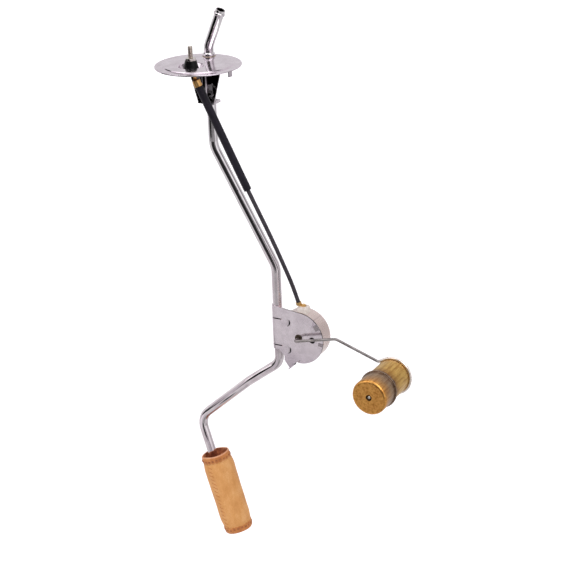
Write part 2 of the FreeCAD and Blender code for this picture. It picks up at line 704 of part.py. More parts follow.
def make_plate():
    """Rheostat plate: wraps the tube, carries the pivot, with lanced stops and a bent tail."""
    body = new_body("mounting_plate")
    height = dim.plate_top_z - dim.plate_bottom_z
    clamp = new_sketch(body, "XY", (0, 0, dim.plate_bottom_z))
    draw_circle(clamp, dim.low_run_x, dim.tube_y, dim.tube_radius + dim.sheet)
    draw_circle(clamp, dim.low_run_x, dim.tube_y, dim.tube_radius + dim.seat_gap)
    pad(body, clamp, height)
    mouth = new_sketch(body, "XY", (0, 0, dim.plate_bottom_z))
    reach = dim.tube_radius + dim.sheet + 1.0
    draw_line(mouth, [
        (dim.low_run_x, plate_back), (dim.low_run_x + reach, plate_back),
        (dim.low_run_x + reach, dim.tube_y + reach), (dim.low_run_x, dim.tube_y + reach)])
    pocket(body, mouth, height, reverse=True)
    disc(body, dim.pivot_x, dim.pivot_z, dim.plate_radius, plate_front, dim.sheet)
    knee = dim.tail_left_x
    slab(body, [
        (dim.low_run_x, dim.plate_top_z), (dim.pivot_x, dim.pivot_z + dim.plate_radius),
        (dim.pivot_x, dim.pivot_z), (dim.tail_right_x, dim.pivot_z - dim.plate_radius * 0.97),
        (dim.tail_right_x, dim.tail_right_z), (dim.tail_tip_x, dim.tail_tip_z), (knee, dim.tail_knee_z),
        (knee, dim.plate_bottom_z), (dim.low_run_x, dim.plate_bottom_z)], plate_front, dim.sheet)
    lip = dim.sheet
    slab(body, [
        (dim.tail_tip_x, dim.tail_tip_z), (dim.tail_right_x, dim.tail_right_z),
        (dim.tail_right_x - lip * 0.7, dim.tail_right_z + lip * 0.7),
        (dim.tail_tip_x - lip * 0.7, dim.tail_tip_z + lip * 0.7)],
        plate_front - dim.tail_lip, dim.tail_lip + dim.sheet * 0.5)
    slot_front = dim.tube_y - dim.tube_radius - dim.sheet * 2
    for level in (dim.slot_upper_z, dim.slot_lower_z):
        slot = new_sketch(body, "XY", (0, 0, level - dim.clamp_slot / 2))
        draw_line(slot, [
            (dim.low_run_x - reach, slot_front), (dim.slot_end_x, slot_front),
            (dim.slot_end_x, dim.tube_y - 1.0), (dim.low_run_x - reach, dim.tube_y - 1.0)])
        pocket(body, slot, dim.clamp_slot, reverse=True)
    for side in (1, -1):
        add_stop(body, side)
    drill(body, dim.pivot_x, dim.pivot_z, dim.bush_radius, plate_front, dim.sheet)
    drill(body, dim.pivot_x + dim.gauge_hole_x, dim.pivot_z, dim.gauge_hole_radius, plate_front, dim.sheet)
    slit = new_sketch(body, "XZ", (dim.tail_right_x, plate_front, dim.tail_right_z),
                      ((0, 0, 1), as_size(43.0)))
    draw_line(slit, [(0.3, -0.4), (6.8, -0.4), (6.8, 0.4), (0.3, 0.4)])
    pocket(body, slit, dim.sheet)


def add_stop(body, side):
    """Half-round window whose metal stands in behind the plate as a stop for the lever."""
    hinge = dim.pivot_x - dim.lance_x
    level = dim.pivot_z + dim.lance_z * side
    radius = dim.lance_radius
    window = new_sketch(body, "XZ", (hinge, plate_front, level))
    half_disc(window, radius)
    pocket(body, window, dim.sheet)
    tab = new_sketch(body, "XZ", (hinge, plate_front, level), ((0, 1, 0), dim.lance_turn))
    half_disc(tab, radius)
    pad(body, tab, dim.sheet * 0.8, reverse=True)


def half_disc(sketch, radius):
    """Half a disc to the right of an upright diameter through the sketch's origin."""
    size = number(radius)
    ends = [FreeCAD.Vector(0, size, 0), FreeCAD.Vector(0, -size, 0)]
    line = sketch.addGeometry(Part.LineSegment(*ends), False)
    circle = Part.Circle(FreeCAD.Vector(0, 0, 0), FreeCAD.Vector(0, 0, 1), size)
    arc = sketch.addGeometry(Part.ArcOfCircle(circle, -math.pi / 2, math.pi / 2), False)
    sketch.addConstraint(Sketcher.Constraint("Coincident", line, 2, arc, 1))
    sketch.addConstraint(Sketcher.Constraint("Coincident", arc, 2, line, 1))
    fix_point(sketch, line, 1, 0, radius)
    fix_point(sketch, line, 2, 0, 0 - radius)
    sketch.addConstraint(Sketcher.Constraint("DistanceX", -1, 1, arc, 3, 0))


def case_outline(sketch, radius, flat):
    """A circle about the pivot with its left side cut off flat."""
    reach = dim.pivot_x - flat
    rise = root(radius * radius - reach * reach)
    ends = [dim.pivot_z + rise, dim.pivot_z - rise]
    spots = [FreeCAD.Vector(number(flat), number(level), 0) for level in ends]
    line = sketch.addGeometry(Part.LineSegment(*spots), False)
    turn = math.atan2(number(rise), number(0 - reach))
    middle = FreeCAD.Vector(number(dim.pivot_x), number(dim.pivot_z), 0)
    circle = Part.Circle(middle, FreeCAD.Vector(0, 0, 1), number(radius))
    arc = sketch.addGeometry(Part.ArcOfCircle(circle, -turn, turn), False)
    sketch.addConstraint(Sketcher.Constraint("Coincident", line, 2, arc, 1))
    sketch.addConstraint(Sketcher.Constraint("Coincident", arc, 2, line, 1))
    for point, level in zip((1, 2), ends):
        fix_point(sketch, line, point, flat, level)
    rule = sketch.addConstraint(Sketcher.Constraint("DistanceX", -1, 1, arc, 3, number(dim.pivot_x)))
    bind(sketch, "Constraints[%d]" % rule, dim.pivot_x)


def round_edges(body, feature, wanted, radius, name):
    """Round the edges of a feature whose end points pass a test."""
    doc.recompute()
    edges = ["Edge%d" % (i + 1) for i, edge in enumerate(feature.Shape.Edges)
             if wanted([spot.Point for spot in edge.Vertexes])]
    soft = body.newObject("PartDesign::Fillet", name)
    soft.Base = (feature, edges)
    bind(soft, "Radius", radius)
    doc.recompute()
    return soft


def make_case():
    """Drawn can with one flat side, a rim under the plate and tabs clinched over it."""
    body = new_body("rheostat_case")
    inner_flat = case_flat_x + dim.case_wall
    inner_radius = dim.case_radius - dim.case_wall
    outside = new_sketch(body, "XZ", (0, plate_back, 0))
    case_outline(outside, dim.case_radius, case_flat_x)
    can = pad(body, outside, dim.case_depth, reverse=True)
    back = number(plate_back + dim.case_depth)
    corners = round_edges(body, can, lambda ends: abs(ends[0].y - ends[-1].y) > 1, dim.case_corner, "Corners")
    soft = round_edges(body, corners, lambda ends: all(abs(end.y - back) < 1e-6 for end in ends),
                       dim.case_edge, "BackEdge")
    mouth = ["Face%d" % (i + 1) for i, face in enumerate(soft.Shape.Faces)
             if abs(face.CenterOfMass.y - number(plate_back)) < 1e-6]
    shell = body.newObject("PartDesign::Thickness", "Wall")
    shell.Base = (soft, mouth)
    bind(shell, "Value", dim.case_wall)
    shell.Reversed = True
    rim = new_sketch(body, "XZ", (0, plate_back, 0))
    case_outline(rim, dim.case_radius + dim.case_rim, case_flat_x)
    case_outline(rim, inner_radius, inner_flat)
    pad(body, rim, dim.case_wall, reverse=True)
    add_clinch_tabs(body)
    hole = new_sketch(body, "XY", (0, 0, dim.pivot_z + dim.case_radius * 0.8))
    draw_circle(hole, block_x(), block_y(), dim.block_neck_radius + dim.seat_gap)
    pocket(body, hole, dim.case_radius * 0.3, reverse=True)


def add_clinch_tabs(body):
    """Two tabs of the case's rim folded over the plate's edge."""
    edge = larger(dim.plate_radius, dim.case_radius + dim.case_rim)
    inner, outer = edge + dim.seat_gap, edge + dim.case_wall
    for angle, width in ((dim.clinch_angle, dim.clinch_width), (dim.clinch_narrow_angle, dim.clinch_narrow)):
        half = width / 2
        runs = (
            (dim.case_radius, plate_back, dim.case_wall),
            (inner, plate_front - dim.case_wall, dim.sheet + dim.case_wall * 2),
            (dim.plate_radius + dim.seat_gap - dim.clinch_length, plate_front - dim.case_wall, dim.case_wall),
        )
        for start, front, depth in runs:
            sketch = new_sketch(body, "XZ", (dim.pivot_x, front, dim.pivot_z), ((0, 0, 1), angle))
            draw_line(sketch, [(start, 0 - half), (outer, 0 - half), (outer, half), (start, half)])
            pad(body, sketch, depth, reverse=True)


def block_x():
    return dim.pivot_x + (dim.block_left + dim.block_right) / 2


def block_y():
    return plate_back + dim.case_wall + dim.block_depth / 2


def make_terminal_block():
    """Cream moulded block on the case, its neck through the wall, and the riveted terminal."""
    body = new_body("terminal_block")
    roof, top = case_roof, case_roof + dim.block_rise
    left, right = dim.pivot_x + dim.block_left, dim.pivot_x + dim.block_right
    front = plate_back + dim.case_wall + dim.seat_gap
    slab(body, [
        (left, roof - dim.block_skirt), (right, roof - dim.block_skirt),
        (right, top - dim.block_chamfer, 0.5), (right - dim.block_chamfer, top, 0.5),
        (left, top, 0.8)], front, dim.block_depth)
    drill(body, dim.pivot_x, dim.pivot_z, dim.case_radius + dim.seat_gap, front - 1.0, dim.block_depth + 2.0)
    neck = new_sketch(body, "XY", (0, 0, roof - dim.block_neck_drop))
    draw_circle(neck, block_x(), block_y(), dim.block_neck_radius)
    pad(body, neck, dim.block_neck_drop)
    bore = new_sketch(body, "XY", (0, 0, roof - dim.block_neck_drop))
    draw_circle(bore, block_x(), block_y(), dim.rivet_radius + dim.seat_gap)
    pocket(body, bore, dim.block_neck_drop + dim.block_rise, reverse=True)
    make_case_terminal()


def make_case_terminal():
    """Rivet through the block, holding the lead's lug outside and the strap inside."""
    top = case_roof + dim.block_rise + dim.lug_sheet
    low = case_roof - dim.block_neck_drop - dim.strap_sheet
    turned("case_terminal", [
        (0, low - 0.8), (dim.rivet_radius + 0.9, low - 0.8, 0.3), (dim.rivet_radius + 0.9, low),
        (dim.rivet_radius, low), (dim.rivet_radius, top), (dim.rivet_head_radius, top),
        (dim.rivet_head_radius, top + dim.rivet_head_height, 0.6), (0, top + dim.rivet_head_height)],
        base=(block_x(), block_y(), 0))


def make_bush():
    """Brass bush riveted into the plate; the arm's leg turns in it."""
    bore = dim.wire_radius + dim.running_gap
    head = dim.bush_head_height
    turned("pivot_bush", [
        (bore, 0 - head), (dim.bush_head_radius, 0 - head, 0.2), (dim.bush_head_radius, 0),
        (dim.bush_radius, 0), (dim.bush_radius, dim.sheet), (dim.bush_head_radius, dim.sheet),
        (dim.bush_head_radius, dim.sheet + head, 0.2), (bore, dim.sheet + head)],
        plane="XY", base=(dim.pivot_x, plate_front, dim.pivot_z))


def arc_band(sketch, inner, outer, span):
    """A band between two radii, span degrees each side of the sketch's X axis."""
    centre, up = FreeCAD.Vector(0, 0, 0), FreeCAD.Vector(0, 0, 1)
    turn = math.radians(number(span))
    arcs = []
    for radius in (inner, outer):
        circle = Part.Circle(centre, up, number(radius))
        arcs.append(sketch.addGeometry(Part.ArcOfCircle(circle, -turn, turn), False))
        sketch.addConstraint(Sketcher.Constraint("DistanceX", -1, 1, arcs[-1], 3, 0))
        for end, sign in ((1, -1), (2, 1)):
            fix_point(sketch, arcs[-1], end, radius * cosine(span), radius * sine(span) * sign)
    for end, sign in ((1, -1), (2, 1)):
        spots = [FreeCAD.Vector(number(size * cosine(span)), number(size * sine(span)) * sign, 0)
                 for size in (inner, outer)]
        line = sketch.addGeometry(Part.LineSegment(*spots), False)
        sketch.addConstraint(Sketcher.Constraint("Coincident", line, 1, arcs[0], end))
        sketch.addConstraint(Sketcher.Constraint("Coincident", line, 2, arcs[1], end))


def pad_band(body, inner, outer, span, front, height):
    sketch = new_sketch(body, "XZ", (dim.pivot_x, front, dim.pivot_z))
    arc_band(sketch, inner, outer, span)
    return pad(body, sketch, height, reverse=True)


def cut_band(body, inner, outer, span, front, height):
    sketch = new_sketch(body, "XZ", (dim.pivot_x, front, dim.pivot_z))
    arc_band(sketch, inner, outer, span)
    return pocket(body, sketch, height)


def make_resistor():
    """Curved card, its winding, the holder on the case wall and the strap to the terminal."""
    card_in = winding_inner + (dim.winding_thickness - dim.card_thickness) / 2
    card_out = card_in + dim.card_thickness
    card_y = winding_y + dim.card_margin
    card_height = dim.winding_height - dim.card_margin * 2
    holder_y = winding_y - dim.holder_margin
    holder_height = dim.winding_height + dim.holder_margin * 2
    card = new_body("resistor_card")
    pad_band(card, card_in, card_out, card_span, card_y, card_height)
    winding = new_body("resistance_winding")
    pad_band(winding, winding_inner, winding_outer, dim.winding_span, winding_y, dim.winding_height)
    cut_band(winding, card_in - dim.seat_gap, card_out + dim.seat_gap, card_span,
             card_y - dim.seat_gap, card_height + dim.seat_gap * 2)
    holder = new_body("card_holder")
    wall = dim.case_radius - dim.case_wall - dim.seat_gap
    span = card_span + dim.holder_end
    pad_band(holder, winding_outer + dim.seat_gap, wall, span, holder_y, holder_height)
    pad_band(holder, card_in - 0.6, winding_outer + 0.5, span, holder_y, holder_height)
    cut_band(holder, card_in - 2.0, winding_outer + dim.seat_gap, dim.winding_span + 1.0,
             holder_y - 0.5, holder_height + 1.0)
    cut_band(holder, card_in - dim.seat_gap, card_out + dim.seat_gap, card_span + 0.2,
             holder_y - 0.5, dim.holder_margin + dim.card_margin + card_height + 0.5 + dim.seat_gap)


def make_strap():
    """Brass strap from the terminal's inner end, with a finger on the winding's upper end."""
    body = new_body("contact_strap")
    top = case_roof - dim.block_neck_drop
    thick = dim.strap_sheet
    left = block_x() - dim.rivet_radius - 1.4
    turn = dim.winding_span - dim.strap_setback
    sketch = new_sketch(body, "XZ", (0, block_y(), 0))

    def along(radius, level):
        """Where the finger's side, tangent at radius, crosses a level."""
        reach = (level - dim.pivot_z - radius * sine(turn)) / cosine(turn)
        return (dim.pivot_x + radius * cosine(turn) - reach * sine(turn), level)

    def tip(radius):
        return (dim.pivot_x + radius * cosine(turn) + 0.6 * sine(turn),
                dim.pivot_z + radius * sine(turn) - 0.6 * cosine(turn))

    outer = winding_inner - dim.seat_gap
    inner = outer - thick
    draw_line(sketch, [
        (left, top - thick), along(inner, top - thick), tip(inner),
        tip(outer), along(outer, top), (left, top)])
    pad(body, sketch, dim.strap_width, middle=True)
    hole = new_sketch(body, "XY", (0, 0, top - thick))
    draw_circle(hole, block_x(), block_y(), dim.rivet_radius + dim.seat_gap)
    pocket(body, hole, thick, reverse=True)


def make_wiper():
    """Lever staked on the arm's inner end, its spring strip and the contact."""
    at = {"x": dim.pivot_x, "z": dim.pivot_z, "axis": (0, 1, 0), "angle": half_travel}
    front = plate_back + dim.lever_gap
    lever = new_body("wiper_lever")
    tail, head = dim.lever_tail_width / 2, dim.lever_head_width / 2
    slab(lever, [
        (0 - dim.lever_tail, 0 - tail, 0.8), (0, 0 - tail), (0, 0 - head), (dim.lever_head, 0 - head, 0.8),
        (dim.lever_head, head, 0.8), (0, head), (0, tail), (0 - dim.lever_tail, tail, 0.8)],
        front, dim.lever_sheet)
    disc(lever, 0, 0, dim.hub_radius, front, dim.lever_sheet)
    drill(lever, 0, 0, dim.wire_radius + dim.seat_gap, front, dim.lever_sheet)
    place(lever, **at)
    blade = new_body("wiper_blade")
    start = front + dim.lever_sheet
    middle = winding_y + dim.winding_height / 2
    contact_back = winding_inner - dim.contact_gap - dim.contact_height
    thick = dim.blade_sheet
    ribbon = new_sketch(blade, "XY", (0, 0, 0))
    draw_line(ribbon, [
        (dim.hub_radius + 0.6, start), (dim.lever_head - 0.5, start), (contact_back, middle - 2.6),
        (contact_back, middle + 1.8), (contact_back - thick, middle + 1.8),
        (contact_back - thick, middle - 2.5), (dim.lever_head - 0.7, start + thick),
        (dim.hub_radius + 0.6, start + thick)])
    pad(blade, ribbon, dim.blade_width, middle=True)
    place(blade, **at)
    contact = new_body("wiper_contact")
    button = new_sketch(contact, "YZ", (contact_back, middle, 0))
    draw_circle(button, 0, 0, dim.contact_radius)
    pad(contact, button, dim.contact_height)
    place(contact, **at)


def make_arm():
    """One bent wire: a leg through the bush, the arm, and a loop round the float's neck."""
    loop = number(dim.groove_radius + dim.wire_radius + dim.seat_gap)
    catch = loop + number(dim.arm_catch_offset)
    level = number(arm_y)
    middle = FreeCAD.Vector(number(dim.float_x), level, number(dim.float_z))

    def around(radius, degrees):
        turn = math.radians(degrees)
        return middle + FreeCAD.Vector(radius * math.cos(turn), 0, radius * math.sin(turn))

    catch_angle = number(dim.arm_catch_angle)
    touch_angle = catch_angle - math.degrees(math.acos(loop / catch))
    inner_end = number(plate_back + dim.lever_gap + dim.lever_sheet)
    pivot = (number(dim.pivot_x), number(dim.pivot_z))
    points = [
        (pivot[0], inner_end, pivot[1]), (pivot[0], level, pivot[1]),
        (number(dim.arm_knee_x), level, number(dim.arm_knee_z)),
        tuple(around(catch, catch_angle)), tuple(around(loop, touch_angle))]
    bends = [number(dim.arm_leg_bend), number(dim.arm_knee_bend), number(dim.arm_catch_bend)]
    edges = rounded_path(points, bends)
    end_angle = number(dim.arm_loop_end)
    half_way = (touch_angle + end_angle) / 2
    edges.append(Part.Arc(around(loop, touch_angle), around(loop, (touch_angle + half_way) / 2),
                          around(loop, half_way)).toShape())
    edges.append(Part.Arc(around(loop, half_way), around(loop, (half_way + end_angle) / 2),
                          around(loop, end_angle)).toShape())
    plain_node("float_arm", round_bar(edges, number(dim.wire_radius)))


def make_float():
    """Two drawn brass cups, rolled and soldered at the seam, with a solder dot in front."""
    radius, rear, wall = dim.float_radius, dim.float_rear_radius, dim.float_wall
    face, seam = 0 - dim.float_front, 0 - dim.float_seam
    lip = radius + dim.seam_rise
    lap = seam - 4.0
    at = (dim.float_x, arm_y, dim.float_z)
    dent, hole = dim.dimple_radius, dim.solder_radius + dim.seat_gap
    turned("float_front_cup", [
        (hole, face + dim.dimple_depth), (dent - 0.7, face + dim.dimple_depth), (dent, face),
        (radius, face, dim.float_edge), (radius, seam - dim.seam_width * 0.8, 0.3),
        (lip, seam - dim.seam_width * 0.8, 0.4),
        (lip, seam, 0.4), (rear + dim.seat_gap, seam), (rear + dim.seat_gap, seam - wall - 0.2),
        (radius - wall, seam - dim.seam_width - 0.6), (radius - wall, face + wall, dim.float_edge - wall),
        (dent, face + wall), (dent - 0.3, face + dim.dimple_depth + wall),
        (hole, face + dim.dimple_depth + wall)],
        plane="XY", base=at)
    back = dim.float_back
    neck, neck_half = dim.groove_radius, dim.wire_radius + 0.15
    turned("float_rear_cup", [
        (0, back), (rear, back, 0.9), (rear + 0.7, neck_half + 1.4), (rear + 0.7, neck_half, 0.3),
        (neck, neck_half), (neck, 0 - neck_half), (rear, 0 - neck_half - 0.6, 0.4), (rear, lap),
        (rear - wall, lap), (rear - wall, 0 - neck_half - 1.0),
        (neck - wall, 0 - neck_half), (neck - wall, neck_half + 0.3), (rear - wall, neck_half + 1.0),
        (rear - wall, back - wall, 0.4), (0, back - wall)],
        plane="XY", base=at)
    turned("float_solder_dot", [
        (0, face + 0.35), (dim.solder_radius * 0.6, face + 0.45),
        (dim.solder_radius, face + dim.dimple_depth),
        (dim.solder_radius, face + dim.dimple_depth + wall), (0, face + dim.dimple_depth + wall)],
        plane="XY", base=at)
    turned("float_seam_solder", [
        (rear + dim.seat_gap, seam), (rear + 1.0, seam), (rear + 0.3, seam + 0.9),
        (rear + dim.seat_gap, seam + 0.9)],
        plane="XY", base=at)


def filter_place():
    """The filter's mouth, beside the tube's last straight run."""
    lean = dim.foot_lean
    x = dim.foot_bend_x + dim.filter_mouth * sine(lean) + dim.filter_offset * cosine(lean)
    z = dim.foot_bend_z - dim.filter_mouth * cosine(lean) + dim.filter_offset * sine(lean)
    return {"x": x, "y": dim.tube_y, "z": z, "axis": (0, -1, 0), "angle": lean}


def make_filter():
    """Cloth pickup filter: a sock with folded hems, a grip ring on the tube and a foot disc."""
    at = filter_place()
    length, radius, rim = dim.filter_length, dim.filter_radius, dim.filter_rim_radius
    wall, hem = dim.filter_wall, dim.filter_hem_wall
    foot = dim.filter_foot
    shoulder, heel = 0 - dim.filter_hem - dim.filter_shoulder, foot + dim.filter_heel - length
    sock = turned("filter_sock", [
        (rim - hem, 0), (rim, 0, 0.7), (rim + 0.4, 0 - dim.filter_hem + 1.5), (rim - 0.1, 0 - dim.filter_hem),
        (radius, shoulder, dim.filter_curve), (radius, heel, dim.filter_curve), (rim + 0.3, foot - length),
        (rim + 0.7, foot - 1.2 - length), (rim, 0 - length, 1.4), (rim - hem, 0 - length),
        (rim - hem, foot - length), (radius - wall, heel), (radius - wall, shoulder),
        (rim - hem, 0 - dim.filter_hem)])
    place(sock, **at)
    inside = rim - hem - dim.seat_gap
    disc_body = turned("filter_foot_disc", [
        (0, 1.0 - length), (inside, 1.0 - length), (inside, 2.6 - length), (0, 2.6 - length)])
    place(disc_body, **at)
    grip = new_body("filter_grip_ring")
    ring = new_sketch(grip, "XY", (0, 0, 0 - dim.collar_depth))
    draw_circle(ring, 0, 0, inside)
    draw_circle(ring, 0 - dim.filter_offset, 0, dim.tube_radius + dim.seat_gap)
    pad(grip, ring, dim.collar_height, reverse=True)
    place(grip, **at)


def lead_route():
    """From the crimp barrel's mouth to the lower lug's cuff. The lead is held at both ends."""
    start = (dim.terminal_x + dim.lead_start_x, dim.terminal_y - dim.lead_start_y,
             dim.pit_floor_z - dim.lead_start_drop)
    end = (block_x() - dim.lead_end_x, block_y(), case_roof + dim.block_rise + dim.lead_end_rise)
    return [tuple(number(size) for size in start)] + LEAD_POINTS + [tuple(number(size) for size in end)]


def make_lead():
    """Insulated lead and the thicker sleeve over its upper half."""
    route = lead_route()
    radii = widest_bends(route)
    edges = rounded_path(route, radii)
    length = sum(edge.Length for edge in edges)
    wire = round_bar(edges, number(dim.lead_radius))
    plain_node("lead_wire", wire)
    print("lead: length %.1f, radii %s" % (length, ", ".join("%.0f" % radius for radius in radii)))
    print("lead: volume %.1f, section times length %.1f"
          % (wire.Volume, math.pi * number(dim.lead_radius) ** 2 * length))
    covered = stretch(edges, number(dim.barrel_length + dim.sleeve_gap), number(dim.sleeve_end))
    sleeve = round_bar(covered, number(dim.sleeve_radius), number(dim.lead_radius + dim.seat_gap))
    plain_node("lead_sleeve", sleeve)


def make_upper_lug():
    """Ring terminal under the insulating washer, turned down into a crimp barrel."""
    level = number(dim.pit_floor_z - dim.sheet - dim.washer_height)
    thick = number(dim.lug_sheet)
    axis = FreeCAD.Vector(number(dim.terminal_x), number(dim.terminal_y), level - thick)
    up = FreeCAD.Vector(0, 0, 1)
    ring = Part.makeCylinder(number(dim.lug_ring_radius), thick, axis, up)
    start, second = [FreeCAD.Vector(*point) for point in lead_route()[:2]]
    direction = (second - start).normalize()
    outer = number(dim.barrel_radius)
    barrel = Part.makeCylinder(outer, number(dim.barrel_length), start, direction)
    neck_width = outer * 1.3
    neck_end = start.x - 1.2
    neck = Part.makeBox(neck_end - axis.x, neck_width, thick,
                        FreeCAD.Vector(axis.x, axis.y - neck_width / 2, level - thick))
    drop = Part.makeBox(thick, neck_width, level - start.z + 2.0,
                        FreeCAD.Vector(neck_end - thick, axis.y - neck_width / 2, start.z - 2.0))
    lug = ring.fuse([neck, drop, barrel]).removeSplitter()
    hole = number(dim.stud_radius - dim.thread_depth + dim.seat_gap)
    lug = lug.cut(Part.makeCylinder(hole, thick * 3, axis - up * thick, up))
    bore = Part.makeCylinder(number(dim.lead_radius + dim.seat_gap), number(dim.barrel_length) * 2,
                             start - direction * 0.01, direction)
    lug = lug.cut(bore)
    head = Part.makeCylinder(number(dim.stud_head_radius) + 0.15, 6.0, axis, -up)
    plain_node("upper_lug", lug.cut(head))


def make_lower_lug():
    """Flat lug on the terminal block with a cuff round the lead's end."""
    roof = number(case_roof + dim.block_rise)
    thick = number(dim.lug_sheet)
    x, y = number(block_x()), number(block_y())
    before, end = [FreeCAD.Vector(*point) for point in lead_route()[-2:]]
    back = (before - end).normalize()
    cuff_radius = number(dim.lead_radius) + thick
    cuff_height = number(dim.cuff_height)
    up = FreeCAD.Vector(0, 0, 1)
    ring_radius = number(dim.rivet_head_radius) + thick
    ring = Part.makeCylinder(ring_radius, thick, FreeCAD.Vector(x, y, roof), up)
    width = ring_radius * 1.7
    tongue = Part.makeBox(x - end.x, width, thick, FreeCAD.Vector(end.x, y - width / 2, roof))
    cup = Part.makeCylinder(cuff_radius, cuff_height, end - back * number(dim.lead_end_rise) * 0.7, back)
    below = cuff_radius * 4
    corner = FreeCAD.Vector(end.x - below / 2, end.y - below / 2, roof - below)
    block = Part.makeBox(below, below, below, corner)
    lug = ring.fuse([tongue, cup.cut(block)]).removeSplitter()
    lug = lug.cut(Part.makeCylinder(number(dim.lead_radius + dim.seat_gap), cuff_height * 2, end, back))
    lug = lug.cut(Part.makeCylinder(number(dim.rivet_radius + dim.seat_gap), thick * 3,
                                    FreeCAD.Vector(x, y, roof - thick), up))
    plain_node("lower_lug", lug)


def check_document():
    faults = []
    for thing in doc.Objects:
        if "Invalid" in thing.State or "Error" in thing.State:
            owner = thing.getParentGeoFeatureGroup()
            faults.append("%s of %s" % (thing.Name, owner.Label if owner else thing.Label))
    for thing in nodes:
        shape = thing.Shape
        if shape.isNull() or not shape.isValid() or not shape.Solids:
            faults.append("shape of " + thing.Label)
    if faults:
        raise RuntimeError("not sound: " + ", ".join(faults))


def write_parts():
    os.makedirs("parts", exist_ok=True)
    for thing in nodes:
        thing.Shape.exportStep(os.path.join("parts", thing.Label + ".step"))


make_flange()
make_fuel_tube()
make_braze_ring()
make_terminal()
make_upper_lug()
make_brace()
make_plate()
make_case()
make_terminal_block()
make_bush()
make_resistor()
make_strap()
make_wiper()
make_arm()
make_float()
make_filter()
make_lead()
make_lower_lug()
doc.recompute()
check_document()
write_parts()
for thing in nodes:
    print("%-20s solids %d  volume %9.2f" % (thing.Label, len(thing.Shape.Solids), thing.Shape.Volume))
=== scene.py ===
import math
import bmesh
import bpy
from mathutils import Matrix, Vector


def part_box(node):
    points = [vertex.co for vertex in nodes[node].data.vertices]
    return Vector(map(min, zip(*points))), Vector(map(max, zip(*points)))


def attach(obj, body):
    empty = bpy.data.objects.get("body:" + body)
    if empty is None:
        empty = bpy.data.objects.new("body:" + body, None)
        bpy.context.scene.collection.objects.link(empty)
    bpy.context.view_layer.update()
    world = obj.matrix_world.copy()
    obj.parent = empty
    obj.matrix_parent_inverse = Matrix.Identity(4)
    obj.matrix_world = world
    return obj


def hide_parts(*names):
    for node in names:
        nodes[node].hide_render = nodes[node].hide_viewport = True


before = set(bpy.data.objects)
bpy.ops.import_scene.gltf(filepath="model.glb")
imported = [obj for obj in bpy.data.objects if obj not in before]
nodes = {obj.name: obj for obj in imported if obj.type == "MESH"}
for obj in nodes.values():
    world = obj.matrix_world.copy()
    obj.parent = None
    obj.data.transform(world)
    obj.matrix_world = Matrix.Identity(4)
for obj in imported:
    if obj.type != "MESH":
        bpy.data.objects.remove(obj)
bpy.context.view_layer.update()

MM = 0.001

# The photograph's camera: where it stands round the sender, and where the flange's
# centre falls in the picture.
CAMERA_AZIMUTH = 29.0
CAMERA_ELEVATION = 21.9
CAMERA_ROLL = 2.2
CAMERA_LENS = 110.0
CAMERA_DISTANCE = 1.680
SENSOR_WIDTH = 36.0
FLANGE_TOP = Vector((0, 0, 1 * MM))
FLANGE_PIXEL = (198.07, 64.4)
PICTURE_SIZE = 576
FLOOR_LEVEL = -0.60
FLOOR_HALF = 15.0

# Places on the sender that finishes and made pieces follow.
PIVOT = Vector((85.8, 23.04, -278.4)) * MM
CLAMP_SLOTS = (-261.0 * MM, -289.9 * MM)
TUBE_RIGHT_SIDE = 68 * MM
PLATE_EDGE_RADIUS = 27.45 * MM
CASE_WALL_RADIUS = 26.1 * MM
CASE_INSIDE_FRONT, CASE_INSIDE_BACK = 24.0 * MM, 42.7 * MM
TUBE_FOOT, TUBE_HEAD = -450 * MM, 50 * MM
LOOP_BEGINS, LOOP_FULLY_HIGHLIT = 177 * MM, 184 * MM
FLOAT_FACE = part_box("float_front_cup")[0][1]
FLOAT_LENGTH = 64 * MM
FLOAT_AXIS = Vector((194.4, 14.04, -295.6)) * MM
STUD_AXIS = Vector((-2.2, -9.3, 0)) * MM

# The filter hangs from its mouth. Its hems, and the seams beside which they pucker, are given as
# shares of its length, and the side seam's bearing in degrees. Its weave and its stitches are drawn
# unrolled, each at its own radius.
FILTER_LEAN = math.radians(16.5)
FILTER_MOUTH = Vector((-23.90, 28.80, -432.62)) * MM
FILTER_LENGTH = 89.5 * MM
HEM_IN, HEM_OUT = 0.083, 0.922
HEM_RADIUS = 15.1 * MM
HEM_SEAMS = ((0.070, 0.088), (0.918, 0.935))
BODY_RADIUS, BODY_SWELL = 14.75 * MM, 1.45 * MM
LINING_RADIUS = 13.15 * MM
LINING_DEPTH = 8.6 * MM
HEM_STITCHES = 22
SEAM_STITCHES = 16
SEAM_BEARING = -95.0
SEWN_RADIUS = 16 * MM
WEAVE_RADIUS = 15.9 * MM

# A wave texture repeats every pi / 10 of its scaled distance.
WAVE_PER_METRE = math.pi / 10


def hex_color(text):
    """An sRGB hex value as linear RGBA."""
    parts = [int(text[i:i + 2], 16) / 255 for i in (1, 3, 5)]
    return tuple(p / 12.92 if p <= 0.04045 else ((p + 0.055) / 1.055) ** 2.4 for p in parts) + (1.0,)


def feed(node, inputs):
    """Fill a node's inputs: from a socket, a node's first live output, a hex colour or a value."""
    for name, source in inputs.items():
        if isinstance(source, bpy.types.Node):
            source = next(output for output in source.outputs if output.enabled)
        if isinstance(source, bpy.types.NodeSocket):
            node.id_data.links.new(source, node.inputs[name])
        else:
            node.inputs[name].default_value = hex_color(source) if isinstance(source, str) else source


def add_node(tree, kind, inputs=None, stops=(), **settings):
    """A node with its settings, its inputs and, on a ramp, its stops: hex colours or grey values."""
    node = tree.nodes.new("ShaderNode" + kind)
    for name, value in settings.items():
        setattr(node, name, value)
    feed(node, inputs or {})
    if stops:
        elements = node.color_ramp.elements
        while len(elements) < len(stops):
            elements.new(0.5)
        for element, (place, color) in zip(elements, stops):
            element.position = place
            element.color = hex_color(color) if isinstance(color, str) else (color, color, color, 1.0)
    return node


